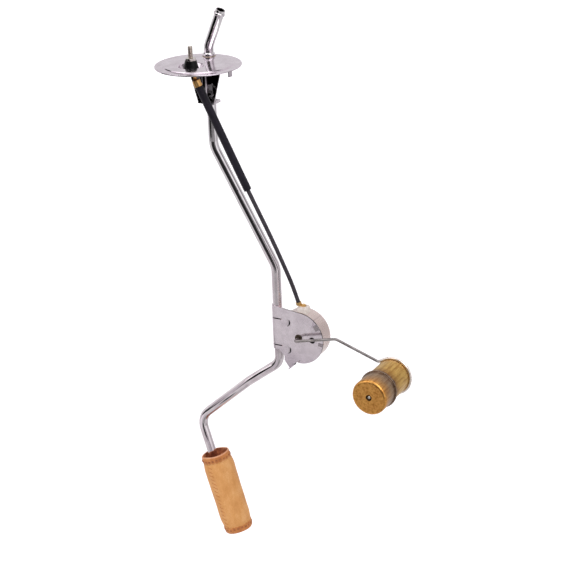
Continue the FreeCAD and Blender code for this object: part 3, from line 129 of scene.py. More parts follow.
def new_material(name, color, roughness, **inputs):
    """A Principled material, its node tree, its shader and the object's coordinates in it. The colour
    and the roughness hold wherever no node feeds them."""
    material = bpy.data.materials.new(name)
    material.use_nodes = True
    tree = material.node_tree
    shader = tree.nodes["Principled BSDF"]
    feed(shader, {"Base Color": color, "Roughness": roughness})
    feed(shader, {socket.replace("_", " "): value for socket, value in inputs.items()})
    return material, tree, shader, add_node(tree, "TexCoord").outputs["Object"]


def inside(tree, *limits):
    """A mask from limits of (value, start, end): 0 where a value is before its start, 1 where each is
    past its end, soft between."""
    mask = None
    for value, start, end in limits:
        step = add_node(tree, "MapRange", {"Value": value, "From Min": start, "From Max": end},
                        interpolation_type="SMOOTHSTEP")
        mask = add_node(tree, "Math", {0: mask, 1: step}, operation="MULTIPLY") if mask else step
    return mask


def distance_from(tree, place, axis):
    """Distance from an axis that runs along Y through a point."""
    offset = add_node(tree, "Mapping", {"Vector": place, "Scale": (1, 0, 1),
                                        "Location": (-axis.x, 0, -axis.z)})
    return add_node(tree, "VectorMath", {0: offset}, operation="LENGTH")


def mottled(name, color, roughness, tone, sheen=None, relief=None, **inputs):
    """A finish that varies over noise. Each layer starts with its noise: size in mm, detail, roughness
    and, where it is drawn out, the scale per axis. Then tone and sheen have the stops of their ramp,
    and relief has the strength of its bump and the depth in mm."""
    material, tree, shader, place = new_material(name, color, roughness, **inputs)
    for socket, layer in (("Base Color", tone), ("Roughness", sheen), ("Normal", relief)):
        if not layer:
            continue
        (size, detail, rough, *stretch), *rest = layer
        drawn = add_node(tree, "Mapping", {"Vector": place, "Scale": stretch[0]}) if stretch else place
        noise = add_node(tree, "TexNoise", {"Vector": drawn, "Scale": 1 / (size * MM), "Detail": detail,
                                            "Roughness": rough})
        if socket == "Normal":
            made = add_node(tree, "Bump", {"Height": noise, "Strength": rest[0], "Distance": rest[1] * MM})
        else:
            made = add_node(tree, "ValToRGB", {"Fac": noise}, rest)
        feed(shader, {socket: made})
    return material


def plated_flange():
    """Bright plated stamped steel: a mirror with a lilac cast, faint handling marks and a soft wave."""
    return mottled("bright_plated_flange", "#E4D8E2", 0.08, Metallic=1.0,
                   tone=[(14, 4, 0.6), (0.32, "#D2C4CF"), (0.62, "#E4D8E2")],
                   sheen=[(3.5, 5, 0.65), (0.35, 0.08), (0.75, 0.18)],
                   relief=[(9, 2, 0.5), 0.04, 0.25])


def plated_gusset():
    """The gusset's bright plating: a near black mirror, painted pale in soft patches as painted reflections.
    """
    return mottled("bright_plated_gusset", "#A79FA6", 0.07, Metallic=1.0,
                   # Painted reflection: the pale patches.
                   tone=[(11, 4, 0.55), (0.38, "#766E74"), (0.50, "#9A9298"), (0.62, "#DCD4DA")],
                   sheen=[(11, 4, 0.55), (0.52, 0.05), (0.60, 0.30), (0.68, 0.45)],
                   relief=[(6, 2, 0.5), 0.08, 0.25])


def brass(name, low, high, rough, spot=6):
    """Rolled brass: warm gold, browner and duller where it has tarnished."""
    return mottled(name, high, rough, Metallic=1.0,
                   tone=[(spot, 5, 0.6), (0.32, low), (0.66, high)],
                   sheen=[(spot, 5, 0.6), (0.3, rough + 0.14), (0.7, rough)],
                   relief=[(1.2, 3, 0.5), 0.06, 0.05])


def plain_metal(name, low, high, rough, size=3):
    """Solder, braze and small turned metal: greyish, in small uneven patches."""
    return mottled(name, high, rough, Metallic=1.0,
                   tone=[(size, 5, 0.6), (0.3, low), (0.7, high)],
                   sheen=[(size / 2, 3, 0.5), (0.3, rough), (0.7, rough + 0.15)],
                   relief=[(0.5, 3, 0.5), 0.10, 0.05])


def nickel_thread():
    """Nickel-plated rolled thread: silvery, slightly stained yellow-grey."""
    return mottled("nickel_plated_thread", "#C4BBB4", 0.20, Metallic=1.0,
                   tone=[(3, 3, 0.5), (0.3, "#B0A59C"), (0.7, "#DAD2CC")],
                   relief=[(0.6, 3, 0.5), 0.08, 0.05])


def black_phenolic():
    """Moulded phenolic: near black, with a soft sheen and a fine mould texture."""
    return mottled("moulded_black_phenolic", "#101012", 0.28, IOR=1.6, Specular_IOR_Level=0.14,
                   tone=[(5, 4, 0.5), (0.3, "#030304"), (0.7, "#09080B")],
                   sheen=[(2, 3, 0.5), (0.3, 0.22), (0.7, 0.36)],
                   relief=[(0.5, 3, 0.5), 0.08, 0.05])


def cream_moulding():
    """Cream thermoset moulding: pale and matt, slightly mottled."""
    return mottled("moulded_cream_thermoset", "#DDD3CA", 0.5, IOR=1.5,
                   tone=[(3, 5, 0.5), (0.3, "#CBBFB6"), (0.7, "#E6DED6")],
                   relief=[(0.6, 3, 0.5), 0.15, 0.06])


def cable_skin(name, low, high, rough, weave):
    """The lead's insulation and its sleeve: dark, slightly mottled, with a fine weave in the sheen."""
    return mottled(name, high, rough, IOR=1.5, Specular_IOR_Level=0.2,
                   tone=[(7, 5, 0.6), (0.3, low), (0.7, high)],
                   sheen=[(3, 3, 0.5), (0.3, rough - 0.06), (0.7, rough + 0.10)],
                   relief=[(weave, 2, 0.5), 0.25, 0.12])


def pressed_board(name, low, high, rough):
    """Laminated card and brown moulding: dull, with a grain of fibres."""
    fibres = (1.5, 4, 0.5, (1, 0.2, 1))
    return mottled(name, high, rough,
                   tone=[fibres, (0.3, low), (0.7, high)],
                   relief=[fibres, 0.15, 0.08])


def waxed_thread(name, low, high):
    """Waxed sewing thread: matt brown, with the fine ridges of its twist."""
    return mottled(name, high, 0.6, IOR=1.45,
                   tone=[(2, 3, 0.5), (0.3, low), (0.7, high)],
                   relief=[(0.4, 3, 0.5, (1, 1, 3)), 0.4, 0.1])


def stained_lining():
    """The filter's inside: cloth stained a dark reddish brown."""
    return mottled("stained_filter_lining", "#7A3E26", 0.7,
                   tone=[(4, 4, 0.5), (0.3, "#7A3A1E"), (0.7, "#C2784A")])


def rheostat_plate():
    """The plated rheostat plate: light grey-lilac, soft mirror. Painted shade darkens the seam between
    its round edge and the can, the sunk stops and the sheared edges."""
    material, tree, shader, place = new_material("bright_plated_rheostat_plate", "#D0C4CC", 0.10,
                                                 Metallic=0.8)
    blotches = add_node(tree, "TexNoise", {"Vector": place, "Scale": 1 / (12 * MM), "Detail": 5,
                                           "Roughness": 0.6})
    plate = add_node(tree, "ValToRGB", {"Fac": blotches}, [(0.32, "#CBC0C7"), (0.64, "#DCD2D8")])
    x, y, _ = add_node(tree, "SeparateXYZ", {"Vector": place}).outputs
    radius = distance_from(tree, place, PIVOT)
    right_of_tube = (x, TUBE_RIGHT_SIDE, TUBE_RIGHT_SIDE + 1 * MM)
    # Painted shade: the seam at the plate's round edge, the sunk stops' deeper part and the sheared edges.
    seam_shade = inside(tree, (radius, PLATE_EDGE_RADIUS - 0.2 * MM, PLATE_EDGE_RADIUS), (x, 84 * MM, 90 * MM))
    stops = inside(tree, (y, PIVOT.y + 1.2 * MM, PIVOT.y + 1.6 * MM), (x, PIVOT.x, PIVOT.x - 8 * MM),
                   right_of_tube)
    normal = add_node(tree, "NewGeometry").outputs["True Normal"]
    facing = add_node(tree, "SeparateXYZ", {"Vector": normal}).outputs["Y"]
    level = add_node(tree, "Math", {0: facing}, operation="ABSOLUTE")
    sheared = inside(tree, (level, 0.30, 0.10), right_of_tube)
    dark = add_node(tree, "Math", {0: stops, 1: sheared}, operation="MAXIMUM")
    dark = add_node(tree, "Math", {0: seam_shade, 1: dark}, operation="MAXIMUM")
    marks = add_node(tree, "TexNoise", {"Vector": place, "Scale": 1 / (4 * MM), "Detail": 5,
                                        "Roughness": 0.65})
    waves = add_node(tree, "TexNoise", {"Vector": place, "Scale": 1 / (7 * MM), "Detail": 2,
                                        "Roughness": 0.5})
    # Painted shade: the seam, the stops and the sheared edges are painted near black.
    feed(shader, {
        "Base Color": add_node(tree, "Mix", {"Factor": dark, "A": plate, "B": "#1D191B"}, data_type="RGBA"),
        "Roughness": add_node(tree, "ValToRGB", {"Fac": marks}, [(0.35, 0.10), (0.75, 0.19)]),
        "Normal": add_node(tree, "Bump", {"Height": waves, "Strength": 0.05, "Distance": 0.25 * MM})})
    return material


def rheostat_can():
    """The drawn, plated can: warm pale grey with a soft sheen. Its clinched tabs are painted greyer, a
    painted reflection, and its inside is painted dark brown as painted shade."""
    material, tree, shader, place = new_material("nickel_plated_steel_can", "#D8CAC7", 0.24, Metallic=1.0)
    blotches = add_node(tree, "TexNoise", {"Vector": place, "Scale": 1 / (20 * MM), "Detail": 3,
                                           "Roughness": 0.5})
    can = add_node(tree, "ValToRGB", {"Fac": blotches}, [(0.36, "#D8C4C1"), (0.64, "#E4D3D0")])
    x, y, _ = add_node(tree, "SeparateXYZ", {"Vector": place}).outputs
    # Painted reflection: the clinched tabs in front of the plate are painted greyer.
    tabs = inside(tree, (y, PIVOT.y + 0.1 * MM, PIVOT.y - 0.1 * MM))
    outside = add_node(tree, "Mix", {"Factor": tabs, "A": can, "B": "#A89EA2"}, data_type="RGBA")
    # Painted shade: the can's inside is painted dark brown.
    can_inside_shade = inside(tree, (distance_from(tree, place, PIVOT), CASE_WALL_RADIUS, CASE_WALL_RADIUS - 0.1 * MM),
                    (x, 70 * MM, 71 * MM), (y, CASE_INSIDE_FRONT, CASE_INSIDE_FRONT + 0.1 * MM),
                    (y, CASE_INSIDE_BACK, CASE_INSIDE_BACK - 0.1 * MM))
    drawn = add_node(tree, "Mapping", {"Vector": place, "Scale": (1, 0.3, 1)})
    marks = add_node(tree, "TexNoise", {"Vector": drawn, "Scale": 1 / (3 * MM), "Detail": 4,
                                        "Roughness": 0.6})
    feed(shader, {
        "Base Color": add_node(tree, "Mix", {"Factor": can_inside_shade, "A": outside, "B": "#3A3230"},
                               data_type="RGBA"),
        "Roughness": add_node(tree, "ValToRGB", {"Fac": marks}, [(0.35, 0.20), (0.75, 0.32)]),
        "Normal": add_node(tree, "Bump", {"Height": blotches, "Strength": 0.04, "Distance": 0.25 * MM})})
    return material


def arm_wire():
    """Drawn steel wire: dull grey along the arm; its loop round the float is painted near white, a painted
    highlight.
    """
    material, tree, shader, place = new_material("drawn_steel_wire", "#908A88", 0.26, Metallic=1.0)
    drawn = add_node(tree, "Mapping", {"Vector": place, "Scale": (0.3, 1, 1)})
    patches = add_node(tree, "TexNoise", {"Vector": drawn, "Scale": 1 / (3 * MM), "Detail": 4,
                                          "Roughness": 0.6})
    dull = add_node(tree, "ValToRGB", {"Fac": patches}, [(0.3, "#878080"), (0.7, "#ADA6A5")])
    x = add_node(tree, "SeparateXYZ", {"Vector": place}).outputs["X"]
    # Painted highlight: the loop round the float fades to near white.
    loop = inside(tree, (x, LOOP_BEGINS, LOOP_FULLY_HIGHLIT))
    pits = add_node(tree, "TexNoise", {"Vector": place, "Scale": 1 / (0.5 * MM), "Detail": 3,
                                       "Roughness": 0.5})
    feed(shader, {
        "Base Color": add_node(tree, "Mix", {"Factor": loop, "A": dull, "B": "#F6EAE2"}, data_type="RGBA"),
        "Roughness": add_node(tree, "ValToRGB", {"Fac": patches}, [(0.3, 0.22), (0.7, 0.36)]),
        "Normal": add_node(tree, "Bump", {"Height": pits, "Strength": 0.06, "Distance": 0.05 * MM})})
    return material


def plated_tube():
    """Bright plated drawn tube: a sharp mirror, palest in its upper half, its lower half painted a little
    darker as painted shade, hazy beside the rheostat and just above it, with painted shade, near black, in
    the clamp's two slots."""
    material, tree, shader, place = new_material("bright_plated_tube", "#D6D0D6", 0.15, Metallic=1.0)
    z = add_node(tree, "SeparateXYZ", {"Vector": place}).outputs["Z"]
    blotches = add_node(tree, "TexNoise", {"Vector": place, "Scale": 1 / (11 * MM), "Detail": 4,
                                           "Roughness": 0.6})
    upper = add_node(tree, "ValToRGB", {"Fac": blotches}, [(0.30, "#D3CBD1"), (0.60, "#E8E3E7")])
    # Painted shade: the lower half is painted a little darker than the upper.
    lower = add_node(tree, "ValToRGB", {"Fac": blotches}, [(0.30, "#D3C6CC"), (0.60, "#E7DDE2")])
    height = inside(tree, (z, -215 * MM, -160 * MM))
    metal = add_node(tree, "Mix", {"Factor": height, "A": lower, "B": upper}, data_type="RGBA")
    # Painted shade: the tube is painted near black in the clamp's two slots.
    for level in CLAMP_SLOTS:
        away = add_node(tree, "Math", {0: z, 1: -level}, operation="ADD")
        away = add_node(tree, "Math", {0: away}, operation="ABSOLUTE")
        unshaded = inside(tree, (away, 0.7 * MM, 1.0 * MM))
        metal = add_node(tree, "Mix", {"Factor": unshaded, "A": "#0E0C0D", "B": metal}, data_type="RGBA")
    along = add_node(tree, "MapRange", {"Value": z, "From Min": TUBE_FOOT, "From Max": TUBE_HEAD})
    rough = add_node(tree, "ValToRGB", {"Fac": along}, [
        (0.00, 0.04), (0.26, 0.04), (0.31, 0.26), (0.46, 0.23), (0.57, 0.03), (1.00, 0.03)])
    feed(shader, {
        "Base Color": metal,
        "Roughness": add_node(tree, "Math", {0: blotches, 1: 0.06, 2: rough}, operation="MULTIPLY_ADD"),
        "Normal": add_node(tree, "Bump", {"Height": blotches, "Strength": 0.05, "Distance": 0.2 * MM})})
    return material


def float_brass():
    """Drawn brass of the float: golden face and rear, browned to grey along the front cup's side, with
    painted reflections as streaks along it, small spots and a dark ring in the dimple round the solder. The
    rear cup is painted darker next to the seam, as painted shade."""
    material, tree, shader, place = new_material("tarnished_float_brass", "#C4935A", 0.30, Metallic=1.0)
    drawn = add_node(tree, "Mapping", {"Vector": place, "Scale": (1, 0.12, 1)})
    cloud, streaks, specks, dents = [
        add_node(tree, "TexNoise", {"Vector": vector, "Scale": 1 / (size * MM), "Detail": detail,
                                    "Roughness": rough})
        for vector, size, detail, rough in ((place, 8, 5, 0.62), (drawn, 2.2, 4, 0.6),
                                            (place, 2.2, 6, 0.7), (place, 5, 3, 0.5))]
    y = add_node(tree, "SeparateXYZ", {"Vector": place}).outputs["Y"]
    back = add_node(tree, "Math", {0: cloud, 1: 9 * MM, 2: y}, operation="MULTIPLY_ADD")
    along = add_node(tree, "MapRange", {"Value": back, "From Min": FLOAT_FACE,
                                        "From Max": FLOAT_FACE + FLOAT_LENGTH})
    # Painted shade: the rear cup is painted darker next to the seam.
    tone = add_node(tree, "ValToRGB", {"Fac": along}, [
        (0.0, "#E09C54"), (0.09, "#E8AC5E"), (0.15, "#C89458"), (0.27, "#A98B6C"), (0.40, "#9C8674"),
        (0.455, "#5E5250"), (0.50, "#B08650"), (0.60, "#D3AA5E"), (0.88, "#DCB468"), (0.97, "#E6D0AC")])
    # Painted reflection: the lengthwise streaks. The small spots are tarnish.
    for noise, start, brown, end, share in ((streaks, 0.34, "#B58A62", 0.56, 0.6),
                                            (specks, 0.30, "#9A7350", 0.50, 0.35)):
        reflection_and_tarnish = add_node(tree, "ValToRGB", {"Fac": noise}, [(start, brown), (end, "#FFFFFF")])
        tone = add_node(tree, "Mix", {"Factor": share, "A": tone, "B": reflection_and_tarnish}, data_type="RGBA",
                        blend_type="MULTIPLY")
    radius = distance_from(tree, place, FLOAT_AXIS)
    ring = inside(tree, (radius, 1.2 * MM, 1.9 * MM), (radius, 3.5 * MM, 2.7 * MM))
    feed(shader, {
        "Base Color": add_node(tree, "Mix", {"Factor": ring, "A": tone, "B": "#33200F"}, data_type="RGBA"),
        "Roughness": add_node(tree, "ValToRGB", {"Fac": cloud}, [(0.3, 0.42), (0.7, 0.28)]),
        "Normal": add_node(tree, "Bump", {"Height": dents, "Strength": 0.08, "Distance": 0.2 * MM})})
    return material


def wound_wire():
    """Fine resistance wire wound side by side: a ribbed brownish band. Its turns are drawn 0.35 mm
    apart, wider than real, so that they show."""
    material, tree, shader, place = new_material("wound_resistance_wire", "#9C8E82", 0.35, Metallic=1.0)
    turns = add_node(tree, "TexWave", {"Vector": place, "Scale": WAVE_PER_METRE / (0.35 * MM),
                                       "Distortion": 0.0}, bands_direction="Z").outputs["Fac"]
    feed(shader, {
        "Base Color": add_node(tree, "ValToRGB", {"Fac": turns}, [(0.2, "#6E6258"), (0.7, "#AFA296")]),
        "Normal": add_node(tree, "Bump", {"Height": turns, "Strength": 0.6, "Distance": 0.15 * MM})})
    return material


def filter_cloth(name, dark, light, pale):
    """Resin-treated cotton cloth: tan and matt, threads 0.9 mm apart both ways, stained unevenly."""
    material, tree, shader, place = new_material(name, light, 0.75, IOR=1.45, Sheen_Weight=0.15,
                                                 Sheen_Roughness=0.4, Specular_IOR_Level=0.2)
    unrolled = add_node(tree, "TexCoord").outputs["UV"]
    warp, weft = [
        add_node(tree, "TexWave", {"Vector": unrolled, "Scale": WAVE_PER_METRE / (0.9 * MM),
                                   "Distortion": 0.8, "Detail": 1.0}, bands_direction=way).outputs["Fac"]
        for way in ("X", "Y")]
    weave = add_node(tree, "Math", {0: warp, 1: weft}, operation="MULTIPLY")
    drawn = add_node(tree, "Mapping", {"Vector": place, "Scale": (1, 1, 0.5)})
    stains = add_node(tree, "TexNoise", {"Vector": drawn, "Scale": 1 / (9 * MM), "Detail": 6,
                                         "Roughness": 0.65})
    base = add_node(tree, "ValToRGB", {"Fac": stains}, [(0.28, dark), (0.5, light), (0.72, pale)])
    threads = add_node(tree, "ValToRGB", {"Fac": weave}, [(0.0, "#C2A992"), (0.6, "#FFFFFF")])
    feed(shader, {
        "Base Color": add_node(tree, "Mix", {"Factor": 0.55, "A": base, "B": threads}, data_type="RGBA",
                               blend_type="MULTIPLY"),
        "Normal": add_node(tree, "Bump", {"Height": weave, "Strength": 0.45, "Distance": 0.22 * MM})})
    return material


def dress(material, *names):
    """Give CAD nodes a finish."""
    for name in names:
        mesh = nodes[name].data
        mesh.materials.clear()
        mesh.materials.append(material)


def add_object(name, data):
    """An object in the scene."""
    thing = bpy.data.objects.new(name, data)
    bpy.context.scene.collection.objects.link(thing)
    return thing


def add_mesh(name, shape, materials):
    """An object in the scene from a finished shape."""
    mesh = bpy.data.meshes.new(name)
    shape.normal_update()
    shape.to_mesh(mesh)
    shape.free()
    for material in materials:
        mesh.materials.append(material)
    return add_object(name, mesh)


def new_piece(name, shape, materials, smooth=True):
    """A piece that rides on the sender."""
    piece = add_mesh(name, shape, materials)
    for face in piece.data.polygons:
        face.use_smooth = smooth
    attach(piece, "sender")
    return piece


def spin_profile(shape, profile, steps):
    """Turn a polyline of (radius, height), in mm, about Z into a closed skin."""
    verts = [shape.verts.new((radius * MM, 0, height * MM)) for radius, height in profile]
    edges = [shape.edges.new(pair) for pair in zip(verts, verts[1:])]
    bmesh.ops.spin(shape, geom=verts + edges, cent=(0, 0, 0), axis=(0, 0, 1), dvec=(0, 0, 0),
                   angle=math.tau, steps=steps, use_merge=True, use_normal_flip=False, use_duplicate=False)
    bmesh.ops.remove_doubles(shape, verts=shape.verts, dist=1e-7)
    bmesh.ops.recalc_face_normals(shape, faces=shape.faces)


def filter_frame():
    """From the filter's own frame, mouth at the origin and axis up, to its place."""
    return Matrix.Translation(FILTER_MOUTH) @ Matrix.Rotation(-FILTER_LEAN, 4, "Y")


def cloth_radius(height):
    """The filter's outer radius at a height below its mouth: hems and a swell between them."""
    below = -height / FILTER_LENGTH
    if below < HEM_IN or below > HEM_OUT:
        return HEM_RADIUS
    along = (below - HEM_IN) / (HEM_OUT - HEM_IN)
    swell = min(1.0, along / 0.14, (1 - along) / 0.16)
    return BODY_RADIUS + BODY_SWELL * (1 - (1 - swell) ** 2)


def cloth_relief(turn, height):
    """How far the cloth stands out of round: slack, lengthwise folds and puckers beside the hems."""
    below = -height / FILTER_LENGTH
    slack = 0.22 * MM * math.sin(2 * turn + 5 * below) + 0.12 * MM * math.sin(5 * turn - 17 * below + 1)
    pucker = math.exp(-((below - 0.085) / 0.02) ** 2) + math.exp(-((below - 0.922) / 0.02) ** 2)
    folds = 0.16 * MM * math.sin(9 * turn + 3 * math.sin(7 * below)) * (0.1 < below < 0.9)
    return slack + 0.22 * MM * pucker * math.cos(HEM_STITCHES * turn) + folds


def make_filter_cloth():
    """The sock: rolled mouth, hems sewn at both ends, a slightly crumpled body and its dark lining."""
    end = -FILTER_LENGTH / MM
    lining = LINING_RADIUS / MM
    profile = [(lining, -LINING_DEPTH / MM), (lining, -1.2), (13.5, -0.3), (14.0, 0.0), (14.6, -0.3),
               (14.95, -1.2), (15.05, -4.0), (15.1, -7.0), (14.95, -7.5), (14.6, -7.6)]
    body_top, body_end, steps = -7.6, end + 7.0, 44
    for i in range(1, steps):
        height = body_top + (body_end - body_top) * i / steps
        profile.append((cloth_radius(height * MM) / MM, height))
    profile += [(14.7, end + 7.0), (15.15, end + 6.9), (15.3, end + 6.2), (15.25, end + 3.0),
                (14.9, end + 0.9), (14.1, end), (13.3, end + 0.5), (13.1, end + 1.5), (13.1, end + 2.2)]
    shape = bmesh.new()
    spin_profile(shape, profile, 96)
    for vert in shape.verts:
        turn = math.atan2(vert.co.y, vert.co.x)
        below = -vert.co.z / FILTER_LENGTH
        if math.hypot(vert.co.x, vert.co.y) < LINING_RADIUS + 0.05 * MM and below < 0.5:
            continue
        sag = cloth_relief(turn, vert.co.z)
        vert.co.x += sag * math.cos(turn)
        vert.co.y += sag * math.sin(turn)
        if any(start < below < end for start, end in HEM_SEAMS):
            vert.co.z += 0.6 * MM * math.cos(HEM_STITCHES * turn)
        elif below < 0.02:
            vert.co.z += 0.35 * MM * math.sin(3 * turn + 0.6)
    unrolled = shape.loops.layers.uv.new("cloth")
    for face in shape.faces:
        middle = face.calc_center_median()
        middle_turn = math.atan2(middle.y, middle.x)
        for loop in face.loops:
            turn = math.atan2(loop.vert.co.y, loop.vert.co.x)
            turn = middle_turn + (turn - middle_turn + math.pi) % math.tau - math.pi
            loop[unrolled].uv = (turn * WEAVE_RADIUS, loop.vert.co.z)
        below, radius = -middle.z / FILTER_LENGTH, math.hypot(middle.x, middle.y)
        if radius < LINING_RADIUS + 0.25 * MM and below < 0.5:
            face.material_index = 3
        elif below < 0.016:
            face.material_index = 2
        elif below < 0.086 or below > 0.921:
            face.material_index = 1
    shape.transform(filter_frame())
    piece = new_piece("filter_sock_cloth", shape, [
        filter_cloth("woven_filter_cloth", "#D69A5A", "#E4AA6A", "#EFBC80"),
        filter_cloth("hemmed_filter_cloth", "#B87444", "#D08C54", "#E0A66E"),
        # The rolled mouth: pinker, its own salmon tone, and paler, a painted highlight.
        filter_cloth("highlit_rolled_filter_edge", "#DA9A72", "#EAB088", "#F4C6A0"),
        stained_lining()])
    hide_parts("filter_sock")


def add_stitch(shape, turn, height, length, width, lean):
    """A short soft thread on the unrolled cloth, leaning in degrees; sizes and height in mm."""
    made = bmesh.ops.create_uvsphere(shape, u_segments=8, v_segments=6, radius=1.0)["verts"]
    bmesh.ops.scale(shape, verts=made, vec=Vector((length, width, width)) / 2 * MM)
    bmesh.ops.rotate(shape, verts=made, cent=(0, 0, 0), matrix=Matrix.Rotation(math.radians(lean), 3, "Z"))
    bmesh.ops.translate(shape, verts=made, vec=(turn * SEWN_RADIUS, height * MM, 0))


def make_filter_stitches():
    """Crossed thread round both hems, and slanted stitches down the side seam; heights in mm."""
    hem_heights, seam_top, seam_length = (-4.9, -85.0), -11.5, 69.0
    tan_thread_end, tan_thread_top = -83.0, -8.0
    shape = bmesh.new()
    for level in hem_heights:
        for i in range(HEM_STITCHES):
            wander = 0.4 * math.sin(5 * i)
            for lean in (38, -38):
                add_stitch(shape, math.tau * (i + 0.5) / HEM_STITCHES, level + wander, 3.7 + wander, 0.95,
                           lean + 12 * math.sin(3 * i))
    for i in range(SEAM_STITCHES):
        add_stitch(shape, math.radians(SEAM_BEARING - 9 * i / SEAM_STITCHES),
                   seam_top - seam_length * i / (SEAM_STITCHES - 1), 7.6 + 0.5 * math.sin(4 * i), 0.8,
                   -24 + 5 * math.sin(7 * i))
    for face in shape.faces:
        height = face.calc_center_median().y / MM
        face.material_index = int(tan_thread_end < height < tan_thread_top)
    for vert in shape.verts:
        turn, height = vert.co.x / SEWN_RADIUS, vert.co.y
        radius = cloth_radius(height) + cloth_relief(turn, height) + 0.12 * MM + vert.co.z
        vert.co = (radius * math.cos(turn), radius * math.sin(turn), height)
    bmesh.ops.recalc_face_normals(shape, faces=shape.faces)
    shape.transform(filter_frame())
    new_piece("filter_stitches", shape, [waxed_thread("brown_hem_thread", "#8A4A24", "#AE6E3C"),
                                         waxed_thread("tan_seam_thread", "#B06C34", "#CC8C4E")])


def make_threaded_stud():
    """The terminal stud with its rolled thread, its shank and its head below."""
    crest, root, pitch = 2.40 * MM, 1.98 * MM, 0.794 * MM
    low, top, chamfer = 9.4 * MM, 20.8 * MM, 0.6 * MM
    shape = bmesh.new()
    verts = []
    for i in range(int((top - low) / pitch) + 3):
        start = low + (i - 1.5) * pitch
        for radius, share in ((root, 0.0), (root, 0.12), (crest, 0.45), (crest, 0.62)):
            verts.append(shape.verts.new((radius, 0, start + share * pitch)))
    edges = [shape.edges.new(pair) for pair in zip(verts, verts[1:])]
    bmesh.ops.spin(shape, geom=verts + edges, cent=(0, 0, 0), axis=(0, 0, 1), dvec=(0, 0, pitch / 32),
                   angle=math.tau, steps=32, use_merge=False, use_normal_flip=False, use_duplicate=False)
    bmesh.ops.remove_doubles(shape, verts=shape.verts, dist=2e-6)
    for level, normal in ((low, (0, 0, -1)), (top, (0, 0, 1))):
        geometry = shape.verts[:] + shape.edges[:] + shape.faces[:]
        cut = bmesh.ops.bisect_plane(shape, geom=geometry, dist=1e-7, plane_co=(0, 0, level),
                                     plane_no=normal, clear_outer=True)
        rim = [item for item in cut["geom_cut"] if isinstance(item, bmesh.types.BMEdge)]
        bmesh.ops.contextual_create(shape, geom=rim)
    for vert in shape.verts:
        radius = math.hypot(vert.co.x, vert.co.y)
        limit = crest - (vert.co.z - (top - chamfer))
        if vert.co.z > top - chamfer and radius > limit:
            vert.co.x *= limit / radius
            vert.co.y *= limit / radius
    shank = bmesh.new()
    spin_profile(shank, [(0, -7.3), (2.6, -7.3), (3.1, -6.8), (3.1, -6.2), (2.163, -6.2),
                         (2.163, low / MM), (0, low / MM)], 32)
    shank_mesh = bpy.data.meshes.new("shank")
    shank.to_mesh(shank_mesh)
    shank.free()
    shape.from_mesh(shank_mesh)
    bmesh.ops.recalc_face_normals(shape, faces=shape.faces)
    bmesh.ops.translate(shape, verts=shape.verts, vec=STUD_AXIS)
    piece = new_piece("terminal_stud_thread", shape, [nickel_thread()], smooth=False)
    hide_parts("terminal_stud")


def direction(azimuth, elevation):
    """The way towards a bearing in degrees, azimuth counted to the right from the sender's front."""
    turn, rise = math.radians(azimuth), math.radians(elevation)
    return Vector((math.sin(turn) * math.cos(rise), -math.cos(turn) * math.cos(rise), math.sin(rise)))


def make_camera():
    """The photograph's camera, set so that the flange's centre falls on its pixel."""
    back = direction(CAMERA_AZIMUTH, CAMERA_ELEVATION)
    turn, roll = math.radians(CAMERA_AZIMUTH), math.radians(CAMERA_ROLL)
    level_right = Vector((math.cos(turn), math.sin(turn), 0))
    level_up = back.cross(level_right)
    right = level_right * math.cos(roll) - level_up * math.sin(roll)
    up = level_right * math.sin(roll) + level_up * math.cos(roll)
    data = bpy.data.cameras.new("photo_camera")
    data.lens = CAMERA_LENS
    data.sensor_width = SENSOR_WIDTH
    data.clip_end = 100.0
    camera = add_object("photo_camera", data)
    per_pixel = CAMERA_DISTANCE * SENSOR_WIDTH / (CAMERA_LENS * PICTURE_SIZE)
    across = (FLANGE_PIXEL[0] - PICTURE_SIZE / 2) * per_pixel
    above = (PICTURE_SIZE / 2 - FLANGE_PIXEL[1]) * per_pixel
    spot = FLANGE_TOP - right * across - up * above + back * CAMERA_DISTANCE
    camera.matrix_world = Matrix.Translation(spot) @ Matrix((right, up, back)).transposed().to_4x4()
    bpy.context.scene.camera = camera


def make_floor():
    """Plain white paper. To the eye it glows faintly, so that it reads white up to the shadow."""
    shape = bmesh.new()
    bmesh.ops.create_grid(shape, x_segments=1, y_segments=1, size=FLOOR_HALF)
    bmesh.ops.translate(shape, verts=shape.verts, vec=(0, 0, FLOOR_LEVEL))
    material, tree, shader, _ = new_material("white_paper", "#FAF9FA", 0.9)
    seen = add_node(tree, "LightPath").outputs["Is Camera Ray"]
    feed(shader, {"Emission Color": "#FFFFFF",
                  "Emission Strength": add_node(tree, "Math", {0: seen, 1: 0.22}, operation="MULTIPLY")})
    floor = add_mesh("studio_floor", shape, [material])
    floor.visible_glossy = False


def make_card(name, near, azimuth, elevation, distance, size, shine):
    """A square studio card that only reflections see, held off a spot towards a bearing in degrees. Its
    spot, distance and size are in mm."""
    away = direction(azimuth, elevation)
    shape = bmesh.new()
    bmesh.ops.create_grid(shape, x_segments=1, y_segments=1, size=size / 2 * MM)
    facing = away.to_track_quat("Z", "Y").to_matrix().to_4x4()
    shape.transform(Matrix.Translation(Vector(near) * MM + away * distance * MM) @ facing)
    material = new_material(name, "#000000", 1.0, Specular_IOR_Level=0.0, Emission_Color="#F4F0F6",
                            Emission_Strength=shine)[0]
    card = add_mesh(name, shape, [material])
    card.visible_camera = card.visible_diffuse = card.visible_shadow = card.visible_transmission = False


def make_lamp(name, azimuth, elevation, strength, spread):
    """A wide far lamp at a bearing, as soft as its spread in degrees."""
    data = bpy.data.lights.new(name, "SUN")
    data.energy = strength
    data.angle = math.radians(spread)
    data.specular_factor = 0.6
    add_object(name, data).rotation_euler = direction(azimuth, elevation).to_track_quat("Z", "Y").to_euler()


